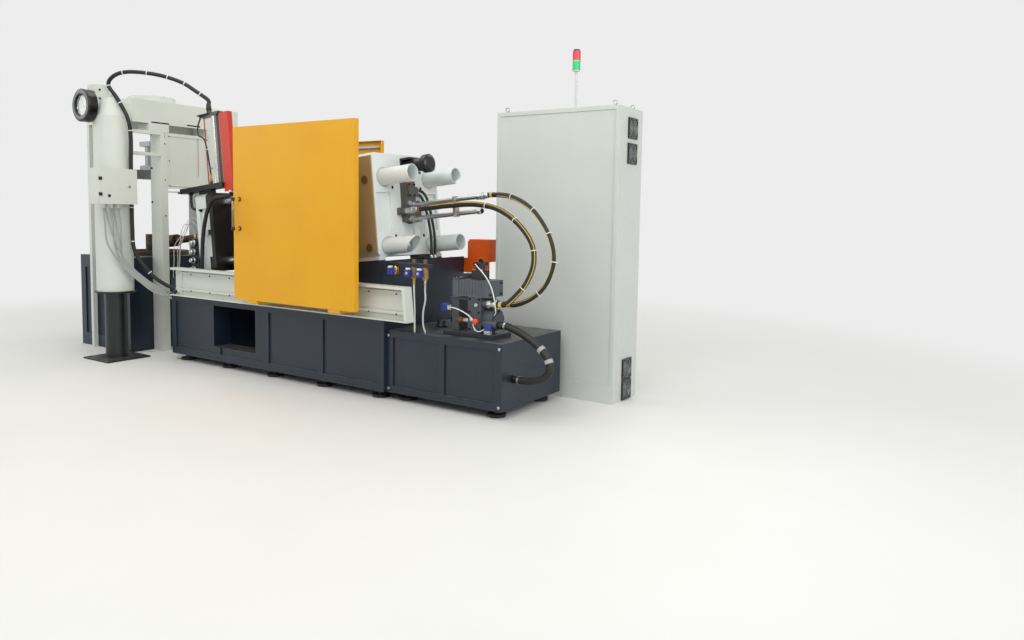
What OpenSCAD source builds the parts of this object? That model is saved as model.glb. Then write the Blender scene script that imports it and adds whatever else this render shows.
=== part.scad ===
// Hot-chamber die casting machine with its control cabinet.
// Built about the clamp axis: x runs from the furnace to the tail, x = 0 at the
// fixed platen's die face, y = 0 on the clamp centreline, z = 0 on the floor.
// The whole model is then shifted so that its origin is the centre of its base.

/* [Clamp unit] */
// Rise of the clamp axis towards the tail, in degrees
clamp_tilt = 6; // [3:0.5:8]
// Height of the clamp axis at the fixed platen's die face
axis_z = 1172; // [1140:2:1220]
// Tie bar centres, both ways
tie_spacing = 520; // [500:5:530]
// Tie bar diameter
tie_d = 85; // [70:1:95]
// Width of all three platens
platen_w = 750; // [730:5:780]
// Height of the fixed and moving platens
platen_h = 690; // [670:5:720]
// Thickness of the fixed platen
fixed_t = 230; // [200:5:260]
// Thickness of the moving platen
moving_t = 220; // [190:5:250]
// Thickness of the tail platen
tail_t = 280; // [240:5:320]
// Fixed platen's die face to the tail platen's tail face
clamp_length = 1925; // [1890:5:1980]
// Tail platen above the axis
tail_rise = 440; // [420:5:460]
// Tail platen below the axis
tail_drop = 336; // [325:1:340]
// Running clearance of bars and pins in their bores
bore_gap = 0.3; // [0.2:0.1:0.6]

/* [Dies] */
// Cover die half, thickness along the axis
cover_die_t = 150; // [120:5:180]
// Space between the open die halves
die_gap = 210; // [160:5:240]
// Ejector die half, thickness along the axis
ejector_die_t = 160; // [120:5:180]
// Width and height of the die blocks
die_size = 360; // [300:5:390]

/* [Toggle] */
// Angle of each main toggle link from the line through its end pins
knee_fold = 15; // [10:0.5:24]
// Toggle pin diameter
toggle_pin_d = 60; // [40:1:70]
// Height of the toggle pins on the moving platen from the axis
moving_pin_w = 170; // [150:5:190]
// Height of the toggle pins on the tail platen from the axis
tail_pin_w = 230; // [210:5:240]
// Thickness of each main link
link_t = 45; // [35:1:50]

/* [Closing cylinder] */
// Bore of the tail platen for the cylinder
cylinder_d = 190; // [150:5:210]
// Piston rod diameter
piston_rod_d = 80; // [60:2:100]
// Side of the square cylinder head
head_w = 164; // [150:2:180]
// Height of the valve block on the cylinder head
valve_h = 148; // [120:2:170]
// Thickness of the cylinder head and its valve block
head_t = 60; // [50:5:90]
// Length of the two transfer pipes
pipe_length = 660; // [560:10:740]
// Transfer pipe diameter
pipe_d = 34; // [24:1:44]

/* [Tie bar covers] */
// Cover tube outside diameter
cover_d = 126; // [120:1:134]
// Cover tube wall
cover_wall = 4; // [3:0.5:6]
// Cover tube length
cover_length = 290; // [260:5:320]

/* [Bed] */
// Half width of the bed
bed_half_w = 480; // [460:5:500]
// Width of each side beam
beam_w = 180; // [150:5:200]
// Bed end on the furnace side, from the die face
bed_left = 480; // [440:10:520]
// Bed end on the tail side, from the die face
bed_right = 2100; // [2080:5:2110]
// Height of the levelling feet
foot_h = 60; // [40:5:80]
// Thickness of the hardened clamp ways
way_t = 30; // [20:1:40]
// Depth of the recesses in the beam sides
recess_depth = 12; // [6:1:20]
// Length of the open well below the dies
well_length = 620; // [560:10:680]

/* [Bed rails] */
// Furnace end of the front bed rail
rail_left = 375; // [360:5:400]
// Tail end of the front bed rail
rail_right = 2385; // [2370:5:2400]
// Underside of the bed rails
rail_bottom = 600; // [590:5:620]
// Height of the bed rails
rail_h = 248; // [230:2:260]
// Depth of the bed rails
rail_depth = 80; // [70:2:90]
// Sheet thickness of the bed rails
rail_wall = 10; // [6:1:14]

/* [Front door] */
// Door width
door_w = 1322; // [1290:2:1350]
// Door height
door_h = 1355; // [1320:5:1400]
// Underside of the door
door_bottom = 660; // [650:5:680]
// Left edge of the door in its open rest position
door_open_x = 693; // [670:1:710]
// Outer face of the door from the clamp centreline
door_face_y = 690; // [680:2:700]
// Depth of the folded door rim
door_rim = 40; // [30:2:50]
// Door sheet thickness
door_sheet = 4; // [3:1:6]
// Door travel towards the furnace
door_travel = 968; // [900:1:990]

/* [Furnace end] */
// Length of the furnace body
furnace_length = 860; // [800:10:900]
// Half width of the furnace body
furnace_half_w = 528; // [500:2:540]
// Height of the furnace body
furnace_h = 900; // [860:5:930]
// Crucible opening diameter
pot_d = 560; // [500:5:600]

/* [Fume hood] */
// Face of the hood towards the die
hood_face_x = 900; // [890:2:910]
// Length of the hood
hood_length = 780; // [740:5:820]
// Side of the two thin posts at the hood's far end
thin_post = 40; // [30:2:50]
// Underside of the hood
hood_bottom = 2158; // [2150:2:2170]
// Height of the hood
hood_h = 212; // [190:2:230]
// Sheet thickness of the hood
hood_sheet = 6; // [4:1:10]
// Duct collar diameter
collar_d = 420; // [360:5:440]
// Height of the duct collar
collar_h = 60; // [40:5:80]
// Hood post, depth along the machine
post_x = 170; // [140:5:180]
// Hood post, width across the machine
post_y = 66; // [56:2:76]
// Inner face of the hood posts from the centreline
post_inner_y = 227; // [220:1:240]

/* [Accumulator] */
// Accumulator axis along the machine
acc_x = 933; // [925:1:940]
// Accumulator axis in front of the clamp centreline
acc_y = 740; // [735:1:745]
// Accumulator diameter
acc_d = 306; // [300:2:308]
// Underside of the accumulator
acc_bottom = 620; // [560:5:700]
// Shoulder height of the accumulator
acc_shoulder = 2180; // [2160:2:2190]
// Top of the accumulator
acc_top = 2340; // [2330:2:2360]
// Side of the square gauge block
gauge_block = 130; // [120:2:140]
// Diameter of the pressure gauge's bezel
gauge_d = 284; // [260:2:290]
// Depth of the pressure gauge
gauge_depth = 70; // [50:2:80]
// Height of the gauge's centre
gauge_z = 2258; // [2250:2:2266]

/* [Junction box] */
// Box width across the machine
jbox_w = 346; // [330:2:350]
// Box height
jbox_h = 306; // [280:2:320]
// Box depth
jbox_depth = 120; // [100:5:140]
// Underside of the box
jbox_bottom = 1400; // [1390:5:1410]
// Thickness of the box door
jbox_door_t = 18; // [14:1:22]
// Sheet thickness of the box
jbox_wall = 3; // [2:1:5]

/* [Spray unit] */
// Length of the spray unit's base bar
spray_bar_length = 610; // [580:5:640]
// Height of the guide rods
spray_lift = 590; // [560:2:620]
// Diameter of the chromed lift rod
spray_rod_d = 40; // [30:1:44]
// Height of the red channel
channel_h = 680; // [650:5:700]
// Depth of the red channel along the machine
channel_x = 116; // [100:2:130]
// Width of the red channel across the machine
channel_y = 46; // [40:2:60]

/* [Oil tank and pump] */
// Tank length along the machine
tank_length = 1010; // [960:5:1040]
// Tank front from the centreline
tank_front_y = 450; // [430:5:470]
// Tank back from the centreline
tank_back_y = 330; // [300:5:350]
// Top of the tank
tank_top = 515; // [500:5:530]
// Side of the square servo motor
motor_side = 190; // [170:5:200]
// Length of the servo motor
motor_length = 300; // [260:5:320]

/* [Control cabinet] */
// Left side of the cabinet
cabinet_left = 2470; // [2465:5:2490]
// Cabinet width
cabinet_w = 1040; // [1000:5:1060]
// Cabinet depth
cabinet_depth = 400; // [360:5:420]
// Cabinet height
cabinet_h = 2150; // [2100:5:2200]
// Front of the cabinet behind the clamp centreline
cabinet_y = 400; // [395:1:410]
// Signal lamp pole height above the roof
pole_h = 300; // [260:5:340]
// Signal lamp diameter
lamp_d = 62; // [50:1:70]
// Height of each signal lamp
lamp_h = 66; // [50:1:80]

/* [Hidden] */
$fn = 48;
eps = 1;

// The furnace stands against the hood posts, and the hood reaches over its thin posts
furnace_right = hood_face_x + post_x;
hood_half_w = furnace_half_w + thin_post;

// Outer limits, from which the model is centred over its origin
x_min = -furnace_right - furnace_length;
fan_t = 12;
x_max = cabinet_left + cabinet_w + fan_t;
jbox_face_x = -acc_x + acc_d / 2 + 10 + jbox_depth + jbox_door_t;
jbox_front_y = -acc_y - 300;
y_min = jbox_front_y - 8;
y_max = cabinet_y + cabinet_depth;

// Clamp stations along the tilted axis
ejector_u = cover_die_t + die_gap;
moving_u = ejector_u + ejector_die_t;
moving_back_u = moving_u + moving_t;
tail_u = clamp_length - tail_t;
way_drop = platen_h / 2 + way_t;
link_end_d = toggle_pin_d + 50;
lug_reach = link_end_d / 2 + 5;
moving_pin_u = moving_back_u + lug_reach;
tail_pin_u = tail_u - lug_reach;

function bed_top(x) = axis_z + x * tan(clamp_tilt) - way_drop / cos(clamp_tilt);

// Knee of a toggle: midway between the end pins and folded in towards the axis
function knee(a, b) =
  let (d = b - a) (a + b) / 2 + tan(knee_fold) / 2 * [d[1], -d[0]];
knee_pin = knee([moving_pin_u, moving_pin_w], [tail_pin_u, tail_pin_w]);

module machine_frame() translate([-(x_min + x_max) / 2, -(y_min + y_max) / 2, 0]) children();
module clamp_frame() machine_frame() translate([0, 0, axis_z]) rotate([0, -clamp_tilt, 0]) children();

// A block from its low and high limits along each axis
module block(x, y, z) translate([x[0], y[0], z[0]]) cube([x[1] - x[0], y[1] - y[0], z[1] - z[0]]);
module rod_x(x, d) translate([x[0], 0, 0]) rotate([0, 90, 0]) cylinder(h = x[1] - x[0], d = d);
module rod_y(y, d) translate([0, y[0], 0]) rotate([-90, 0, 0]) cylinder(h = y[1] - y[0], d = d);
module rod_z(z, d) translate([0, 0, z[0]]) cylinder(h = z[1] - z[0], d = d);
module both_sides() { children(); mirror([0, 1, 0]) children(); }
module at_tie_bars() for (y = [-1, 1], w = [-1, 1])
  translate([0, y * tie_spacing / 2, w * tie_spacing / 2]) children();

// A tube swept along points, with rings kept square to the route
function unit(v) = v / norm(v);
function heading(p, i) =
  i == 0 ? unit(p[1] - p[0]) :
  i == len(p) - 1 ? unit(p[i] - p[i - 1]) : unit(unit(p[i + 1] - p[i]) + unit(p[i] - p[i - 1]));
function square_to(t, n) = unit(n - (n * t) * t);
function ring_normals(p, n, i = 0) = i == len(p) ? [] :
  let (m = square_to(heading(p, i), n)) concat([m], ring_normals(p, m, i + 1));
function curve_at(a, b, c, d, t) =
  0.5 * (2 * b + (c - a) * t + (2 * a - 5 * b + 4 * c - d) * t * t + (3 * b - a - 3 * c + d) * t * t * t);
function smooth(p, steps) = concat([for (i = [0:len(p) - 2], k = [0:steps - 1])
  curve_at(p[max(i - 1, 0)], p[i], p[i + 1], p[min(i + 2, len(p) - 1)], k / steps)], [p[len(p) - 1]]);
module hose(route, d, sides = 10, steps = 2) {
  p = smooth(route, steps);
  n = ring_normals(p, [0.1, 1, 0.2]);
  last = len(p) - 1;
  points = [for (i = [0:last], k = [0:sides - 1])
    let (b = cross(heading(p, i), n[i]), a = 360 * k / sides)
    p[i] + d / 2 * (cos(a) * n[i] + sin(a) * b)];
  walls = [for (i = [0:last - 1], k = [0:sides - 1]) let (j = (k + 1) % sides)
    [i * sides + k, i * sides + j, (i + 1) * sides + j, (i + 1) * sides + k]];
  ends = [[for (k = [sides - 1:-1:0]) k], [for (k = [0:sides - 1]) last * sides + k]];
  polyhedron(points = points, faces = concat([for (f = walls) [f[3], f[2], f[1], f[0]]],
    [for (e = ends) [for (k = [len(e) - 1:-1:0]) e[k]]]), convexity = 6);
}

// Bed: two side beams whose tops follow the clamp's tilt
module beam_profile(x)
  polygon([[x[0], foot_h], [x[1], foot_h], [x[1], bed_top(x[1])], [x[0], bed_top(x[0])]]);
module slab(x, y) translate([0, y[1], 0]) rotate([90, 0, 0]) linear_extrude(y[1] - y[0]) beam_profile(x);
bay_count = 4;
bay_gap = 60;
bay_length = (bed_right + bed_left - bay_gap) / bay_count - bay_gap;
bay_z = [foot_h + bay_gap, rail_bottom - bay_gap];
window_h = 360;
window_rib = 35;
module bed_side_beams() color("#18202E") {
  machine_frame() difference() {
    both_sides() difference() {
      slab([-bed_left, bed_right], [bed_half_w - beam_w, bed_half_w]);
      for (i = [0:bay_count - 1])
        translate([-bed_left + bay_gap + i * (bay_length + bay_gap), 0, 0])
          block([0, bay_length], [bed_half_w - recess_depth, bed_half_w + eps], bay_z);
    }
    // Castings leave the well through a window on the operator's side
    block([well_x + window_rib, well_x + well_length - window_rib],
      [-bed_half_w - eps, -bed_half_w + beam_w + eps], [bay_z[1] - window_h, bay_z[1]]);
  }
  clamp_frame() both_sides() block([-fixed_t, clamp_length], way_y, [-way_drop - eps, -way_drop + way_strip]);
}
well_x = cover_die_t / 2;
module bed_cross_blocks() color("#1B2433") {
  machine_frame() {
    slab([-bed_left, well_x], [-bed_half_w + beam_w, bed_half_w - beam_w]);
    slab([well_x + well_length, bed_right], [-bed_half_w + beam_w, bed_half_w - beam_w]);
  }
}
foot_d = 130;
foot_stem_d = 44;
foot_inset = 110;
foot_pitch = (bed_right + bed_left - 2 * foot_inset) / 4;
module foot() {
  rod_z([0, foot_h / 3], foot_d);
  rod_z([foot_h / 3 - eps, foot_h], foot_stem_d);
}
module bed_feet() color("#3A3D44") machine_frame() {
  for (i = [0:4]) both_sides()
    translate([-bed_left + foot_inset + i * foot_pitch, bed_half_w - beam_w / 2, 0]) foot();
  for (x = [bed_right + foot_inset, bed_right + tank_length - foot_inset], y = [-tank_front_y, tank_back_y])
    translate([x, y - sign(y) * foot_inset, 0]) foot();
}

// Bed rails: folded channels on the beams' sides, the front one with two door guides
guide_h = 22;
guide_depth = 16;
guide_zs = [rail_bottom + 46, rail_bottom + rail_h - 58];
module rail_section() difference() {
  square([rail_depth, rail_h]);
  translate([rail_wall, rail_wall]) square([rail_depth, rail_h - 3 * rail_wall]);
}
module guide_section() for (z = guide_zs)
  translate([rail_wall - eps, z - rail_bottom]) square([guide_depth + eps, guide_h]);
module along_x(x) translate([x[0], 0, 0]) rotate([90, 0, 90]) linear_extrude(x[1] - x[0]) children();
rail_end_t = 24;
rail_end_w = 86;
rail_end_slope = 28;
rail_knob_d = 34;
rail_knob_l = 22;
module rail_tail_shape(w) translate([rail_right, rail_bottom])
  polygon([[-w, 0], [0, 0], [-rail_end_slope, rail_h], [-rail_end_slope - w, rail_h]]);
module rail_plate(x, t) block(x, [bed_half_w, bed_half_w + t], [rail_bottom, rail_bottom + rail_h]);
module bed_rails() color("#C9CDC4") machine_frame() {
  difference() {
    mirror([0, 1, 0]) {
      along_x([-rail_left, rail_right]) translate([bed_half_w, rail_bottom]) {
        rail_section();
        guide_section();
      }
      rail_plate([-rail_left, -rail_left + rail_end_w], rail_end_t);
      translate([0, bed_half_w + rail_depth, 0]) rotate([90, 0, 0])
        linear_extrude(rail_depth) rail_tail_shape(rail_end_t);
    }
    // The tail end is cut at a slant
    translate([2 * rail_end_slope, -bed_half_w + eps, 0]) rotate([90, 0, 0])
      linear_extrude(rail_depth + 2 * eps) rail_tail_shape(2 * rail_end_slope);
  }
  translate([-rail_left + rail_end_w / 2, 0, rail_bottom + rail_knob_d])
    rod_y([-bed_half_w - rail_end_t - rail_knob_l, -bed_half_w - rail_end_t + eps], rail_knob_d);
  along_x([-rail_left, bed_right]) translate([bed_half_w, rail_bottom]) rail_section();
}

// Platens, in the tilted clamp frame
module platen(u, w, corner) difference() {
  translate([u[0], 0, 0]) rotate([90, 0, 90]) linear_extrude(u[1] - u[0])
    polygon([[-platen_w / 2 + corner, w[0]], [platen_w / 2 - corner, w[0]], [platen_w / 2, w[0] + corner],
      [platen_w / 2, w[1] - corner], [platen_w / 2 - corner, w[1]], [-platen_w / 2 + corner, w[1]],
      [-platen_w / 2, w[1] - corner], [-platen_w / 2, w[0] + corner]]);
  at_tie_bars() rod_x([u[0] - eps, u[1] + eps], tie_d + 2 * bore_gap);
}
platen_corner = 24;
nozzle_d = 70;
way_strip = 12;
way_y = [bed_half_w - beam_w + 2, platen_w / 2 - 3];
module shoes(u, w_top) both_sides() block(u, way_y, [-way_drop + way_strip, w_top]);
side_rib = 45;
side_pocket = 26;
module side_pockets(u) both_sides() for (w = [-1, 1])
  block([u[0] + side_rib, u[1] - side_rib], [platen_w / 2 - side_pocket, platen_w / 2 + eps],
    w > 0 ? [side_rib / 2, tie_spacing / 2 - side_rib] : [-tie_spacing / 2 + side_rib, -side_rib / 2]);
sprue_cone_d = 260;
module fixed_platen() color("#C8CCC6") clamp_frame() {
  difference() {
    platen([-fixed_t, 0], [-platen_h / 2, platen_h / 2], platen_corner);
    rod_x([-fixed_t - eps, eps], nozzle_d + 2 * bore_gap);
    translate([-fixed_t - eps, 0, 0]) rotate([0, 90, 0])
      cylinder(h = fixed_t / 2, d1 = sprue_cone_d, d2 = nozzle_d + 20);
    side_pockets([-fixed_t, 0]);
  }
  shoes([-fixed_t, 0], -platen_h / 2 + eps);
}
lug_w = 90;
lug_y = [106, 156];
module lug(u_root, u_pin, w) difference() {
  union() {
    block([min(u_root, u_pin), max(u_root, u_pin)], lug_y, [w - lug_w / 2, w + lug_w / 2]);
    translate([u_pin, 0, w]) rod_y(lug_y, lug_w);
  }
  translate([u_pin, 0, w]) rod_y([lug_y[0] - eps, lug_y[1] + eps], toggle_pin_d + 2 * bore_gap);
}
module moving_platen() color("#C8CCC6") clamp_frame() {
  difference() {
    platen([moving_u, moving_back_u], [-platen_h / 2, platen_h / 2], platen_corner);
    side_pockets([moving_u, moving_back_u]);
  }
  both_sides() for (w = [-1, 1]) lug(moving_back_u, moving_pin_u, w * moving_pin_w);
  shoes([moving_u, moving_back_u], -platen_h / 2 + eps);
}
tail_recess = 22;
cover_seat = 12;
face_rib = 26;
lift_hole_d = 26;
lift_hole = [165, 186];
module tail_face_pocket(y, w) block([clamp_length - tail_recess, clamp_length + eps], y, w);
module tail_platen() color("#D2D8D6") clamp_frame() {
  difference() {
    platen([tail_u, clamp_length], [-tail_drop, tail_rise], platen_corner);
    rod_x([tail_u - eps, clamp_length + eps], cylinder_d + 2 * bore_gap);
    at_tie_bars() rod_x([clamp_length - cover_seat, clamp_length + eps], cover_d + 2 * cover_seat);
    both_sides() {
      tail_face_pocket([lift_hole[0] + face_rib, platen_w / 2 - face_rib],
        [-tie_spacing / 2 + cover_d / 2 + 2 * face_rib, tie_spacing / 2 - cover_d / 2 - 2 * face_rib]);
      for (w = lift_hole[1] * [-1, 1]) translate([0, lift_hole[0], w])
        rod_x([clamp_length - 2 * tail_recess, clamp_length + eps], lift_hole_d);
    }
    tail_face_pocket([-head_w / 2 + face_rib, head_w / 2 - face_rib],
      [-tail_drop + face_rib, -head_w / 2 - face_rib]);
  }
  both_sides() for (w = [-1, 1]) lug(tail_u, tail_pin_u, w * tail_pin_w);
  shoes([tail_u, clamp_length], -tail_drop + eps);
}
side_cover_t = 12;
cap_d = 60;
module tail_side_cover() color("#A08255") clamp_frame() {
  block([tail_u + 10, clamp_length], [-platen_w / 2 - side_cover_t, -platen_w / 2],
    [-tail_drop + platen_corner, tail_rise - platen_corner]);
  for (w = [-tail_drop + 70, tail_rise - 200]) translate([clamp_length - 70, 0, w])
    rod_y([-platen_w / 2 - side_cover_t - 8, -platen_w / 2 - side_cover_t + eps], cap_d);
}

// Tie bars with their nuts at the fixed platen and inside the covers
nut_t = 80;
nut_af = 130;
tail_nut_d = cover_d - 2 * cover_wall - 4;
bar_end_u = clamp_length + 190;
module tie_bars() color("#B9BCBE") clamp_frame() at_tie_bars() {
  rod_x([-fixed_t - nut_t - 20, bar_end_u], tie_d);
  translate([-fixed_t - nut_t, 0, 0]) rotate([0, 90, 0]) cylinder(h = nut_t, d = nut_af, $fn = 6);
  rod_x([clamp_length - cover_seat, clamp_length + nut_t], tail_nut_d);
}
module cover_tube(length) difference() {
  rod_x([clamp_length - cover_seat, clamp_length + length], cover_d);
  rod_x([clamp_length - cover_seat - eps, clamp_length + length + eps], cover_d - 2 * cover_wall);
}
module tie_bar_covers() color("#D4D8D2") clamp_frame() {
  for (p = [[-1, 1], [1, -1]]) translate([0, p[0] * tie_spacing / 2, p[1] * tie_spacing / 2])
    cover_tube(cover_length);
  // The upper rear rim is torn and the lower front end is cut off at a slant
  translate([0, tie_spacing / 2, tie_spacing / 2]) difference() {
    cover_tube(cover_length);
    translate([clamp_length + cover_length, cover_d / 3, -cover_d / 3]) rotate([20, 0, 30])
      cube([70, cover_d / 2, cover_d / 2], center = true);
  }
  translate([0, -tie_spacing / 2, -tie_spacing / 2]) difference() {
    cover_tube(cover_length);
    translate([clamp_length + cover_length, 0, 0]) rotate([0, 40, 0])
      block([-30, 200], [-cover_d, cover_d], [-cover_d, cover_d]);
  }
}
height_motor_w = 350;
height_motor_d = 100;
height_motor_l = 200;
motor_cap_t = 44;
motor_cap_d = 140;
motor_plate = 62;
motor_foot_t = 16;
module die_height_motor() color("#17191B") clamp_frame() translate([0, 0, height_motor_w]) {
  rod_x([clamp_length, clamp_length + height_motor_l], height_motor_d);
  rod_x([clamp_length + height_motor_l - eps, clamp_length + height_motor_l + motor_cap_t], motor_cap_d);
  translate([clamp_length + height_motor_l + motor_cap_t - eps, 0, 0]) rotate([0, 90, 0])
    cylinder(h = motor_cap_t / 4, d1 = motor_cap_d - 8, d2 = height_motor_d);
  for (w = [-motor_plate, motor_plate - motor_foot_t])
    block([clamp_length, clamp_length + height_motor_l / 2], motor_plate * [-1, 1], [w, w + motor_foot_t]);
  block([clamp_length, clamp_length + motor_foot_t], motor_plate * [-1, 1], motor_plate * [-1, 1]);
}

// Toggle: two pairs of links a side, bent at the knee because the dies are open
link_y = [[lug_y[1] + 1, lug_y[1] + 1 + link_t], [lug_y[0] - 1 - link_t, lug_y[0] - 1]];
link_waist = 12;
link_web = 6;
module link(a, b, y) {
  d = b - a;
  translate([a[0], 0, a[1]]) rotate([0, -atan2(d[1], d[0]), 0]) difference() {
    union() {
      for (x = [0, norm(d)]) translate([x, 0, 0]) rod_y(y, link_end_d);
      block([0, norm(d)], [y[0] + link_web, y[1] - link_web],
        [-link_end_d / 2 + link_waist, link_end_d / 2 - link_waist]);
    }
    for (x = [0, norm(d)]) translate([x, 0, 0]) rod_y([y[0] - eps, y[1] + eps], toggle_pin_d + 2 * bore_gap);
  }
}
// A short link a side ties each knee to the crosshead, on a pin through the crosshead
drive_link_t = 27;
drive_link_y = [link_y[1][0] - 2 - drive_link_t, link_y[1][0] - 2];
drive_pin_d = 36;
drive_pin_w = 110;
drive_pin = [knee_pin[0] + 105, drive_pin_w];
drive_eye = 32;
drive_link_w = 48;
drive_web = 3;
module drive_link() {
  ends = [[knee_pin, toggle_pin_d], [drive_pin, drive_pin_d]];
  difference() {
    union() {
      for (e = ends) translate([e[0][0], 0, e[0][1]]) rod_y(drive_link_y, e[1] + drive_eye);
      d = drive_pin - knee_pin;
      translate([knee_pin[0], 0, knee_pin[1]]) rotate([0, -atan2(d[1], d[0]), 0])
        block([toggle_pin_d / 2 + drive_web, norm(d) - drive_pin_d / 2 - drive_web],
          [drive_link_y[0] + drive_web, drive_link_y[1] - drive_web], drive_link_w / 2 * [-1, 1]);
    }
    for (e = ends) translate([e[0][0], 0, e[0][1]])
      rod_y([drive_link_y[0] - eps, drive_link_y[1] + eps], e[1] + 2 * bore_gap);
  }
}
module toggle_half() {
  moving_end = [moving_pin_u, moving_pin_w];
  tail_end = [tail_pin_u, tail_pin_w];
  link(moving_end, knee_pin, link_y[0]);
  link(knee_pin, tail_end, link_y[1]);
  drive_link();
  for (p = [moving_end, tail_end]) translate([p[0], 0, p[1]])
    rod_y([link_y[1][0], link_y[0][1]], toggle_pin_d);
  translate([knee_pin[0], 0, knee_pin[1]]) rod_y([drive_link_y[0], link_y[0][1]], toggle_pin_d);
}
module toggle_links() color("#6E7276") clamp_frame() both_sides() {
  toggle_half();
  mirror([0, 0, 1]) toggle_half();
}
crosshead_t = 90;
crosshead_u = drive_pin[0] - crosshead_t / 2;
crosshead_y = drive_link_y[0] - 1;
crosshead_boss_d = 100;
guide_rod_d = 36;
guide_rod_w = 170;
crosshead_w = 210;
module crosshead() color("#83878A") clamp_frame() {
  difference() {
    block([crosshead_u, crosshead_u + crosshead_t], [-crosshead_y, crosshead_y], [-crosshead_w, crosshead_w]);
    for (w = [-1, 1]) translate([0, 0, w * guide_rod_w])
      rod_x([crosshead_u - eps, crosshead_u + crosshead_t + eps], guide_rod_d + 2 * bore_gap);
  }
  rod_x([crosshead_u, crosshead_u + crosshead_t], crosshead_boss_d);
  for (w = [-1, 1]) translate([drive_pin[0], 0, w * drive_pin_w])
    rod_y([-drive_link_y[1], drive_link_y[1]], drive_pin_d);
  rod_x([crosshead_u + crosshead_t - eps, tail_u - 20], piston_rod_d);
  for (w = [-1, 1]) translate([0, 0, w * guide_rod_w]) rod_x([moving_back_u, tail_u], guide_rod_d);
}
head_u = clamp_length + head_t;
pipe_ws = [45, -60];
pipe_y = -30;
port_y = -108;
port_l = 60;
port_d = 46;
port_boss = 36;
port_boss_w = 54;
clip_u = 413;
clip_t = 26;
clip_lap = 24;
valve_y = 27;
valve_lid_t = 14;
tie_rod_d = 26;
tie_rod_inset = 24;
module closing_cylinder() color("#9A9D9E") clamp_frame() {
  difference() {
    rod_x([tail_u - 20, clamp_length + eps], cylinder_d);
    rod_x([tail_u - 20 - eps, tail_u], cylinder_d - 60);
  }
  block([clamp_length, head_u], head_w / 2 * [-1, 1], head_w / 2 * [-1, 1]);
  block([clamp_length, head_u], [-head_w / 2, valve_y], [head_w / 2 - eps, head_w / 2 + valve_h]);
  block([head_u - eps, head_u + valve_lid_t], [-head_w / 2 + valve_lid_t, valve_y - valve_lid_t],
    [head_w / 2 + 2 * valve_lid_t, head_w / 2 + valve_h - valve_lid_t]);
  for (y = [-1, 1], w = [-1, 1]) translate((head_w / 2 - tie_rod_inset) * [0, y, w])
    rod_x([head_u - eps, head_u + tie_rod_d / 2], tie_rod_d);
  for (w = pipe_ws) translate([0, pipe_y, w]) rod_x([head_u - eps, head_u + pipe_length], pipe_d);
  block([head_u + clip_u, head_u + clip_u + clip_t], [pipe_y - clip_lap, pipe_y + clip_lap],
    [pipe_ws[1] - clip_lap, pipe_ws[0] + clip_lap]);
  block([clamp_length, clamp_length + port_boss], [port_y - port_boss_w / 2, -head_w / 2 + eps],
    port_boss_w / 2 * [-1, 1]);
  translate([0, port_y, 0]) rod_x([clamp_length + port_boss - eps, head_u + port_l], port_d);
  block([clamp_length, clamp_length + 2 * lube_off], [valve_y - eps, lube_start_y],
    [lube_ws[1] - lube_d, lube_ws[0] + lube_d]);
}

// Dies on the platens
module die_block(u) {
  difference() {
    block(u, [-die_size / 2, die_size / 2], [-die_size / 2, die_size / 2]);
    both_sides() for (w = [-1, 1]) translate([0, die_size / 2 - 36, w * (die_size / 2 - 36)])
      rod_x([u[0] - eps, u[1] + eps], 24);
  }
}
module cover_die() color("#3B3836") clamp_frame() die_block([0, cover_die_t]);
module ejector_die() color("#3B3836") clamp_frame() die_block([ejector_u, moving_u]);

// Front sliding door: a folded sheet pan on two bearing blocks that run on the front rail
door_y = [-door_face_y, -door_face_y + door_rim];
hanger_w = 120;
hanger_xs = [door_open_x + 150, door_open_x + door_w - 150 - hanger_w];
hanger_gap = 0.3;
hanger_lip = 10;
handle_z = 1336;
handle_h = 250;
handle_d = 20;
handle_x = 75;
handle_reach = 62;
handle_rose = [34, 6];
module front_door() color("#E5AE12") machine_frame() {
  difference() {
    block([door_open_x, door_open_x + door_w], door_y, [door_bottom, door_bottom + door_h]);
    block([door_open_x + door_sheet, door_open_x + door_w - door_sheet],
      [door_y[0] + door_sheet, door_y[1] + eps],
      [door_bottom + door_sheet, door_bottom + door_h - door_sheet]);
  }
  for (x = hanger_xs, z = guide_zs) difference() {
    block([x, x + hanger_w], [door_y[0] + door_sheet - eps, -bed_half_w - rail_wall - guide_depth / 2],
      [z - hanger_lip, z + guide_h + hanger_lip]);
    block([x - eps, x + hanger_w + eps], [-bed_half_w - rail_wall - guide_depth - hanger_gap, -bed_half_w],
      [z - hanger_gap, z + guide_h + hanger_gap]);
  }
  translate([door_open_x + handle_x, door_y[0], handle_z]) {
    for (z = [-1, 1]) translate([0, 0, z * (handle_h - handle_d) / 2]) {
      rod_y([-handle_reach, eps], handle_d);
      rod_y([-handle_rose[1], eps], handle_rose[0]);
    }
    translate([0, -handle_reach, 0]) rod_z([-handle_h / 2, handle_h / 2], handle_d);
  }
}
guard_left = door_open_x - door_travel;
guard_rod_d = 22;
guard_cylinder_d = 34;
guard_rod_z = 1956;
guard_foot_w = 80;
guard_foot_inset = 120;
guard_foot_h = rail_h - 70;
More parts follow.
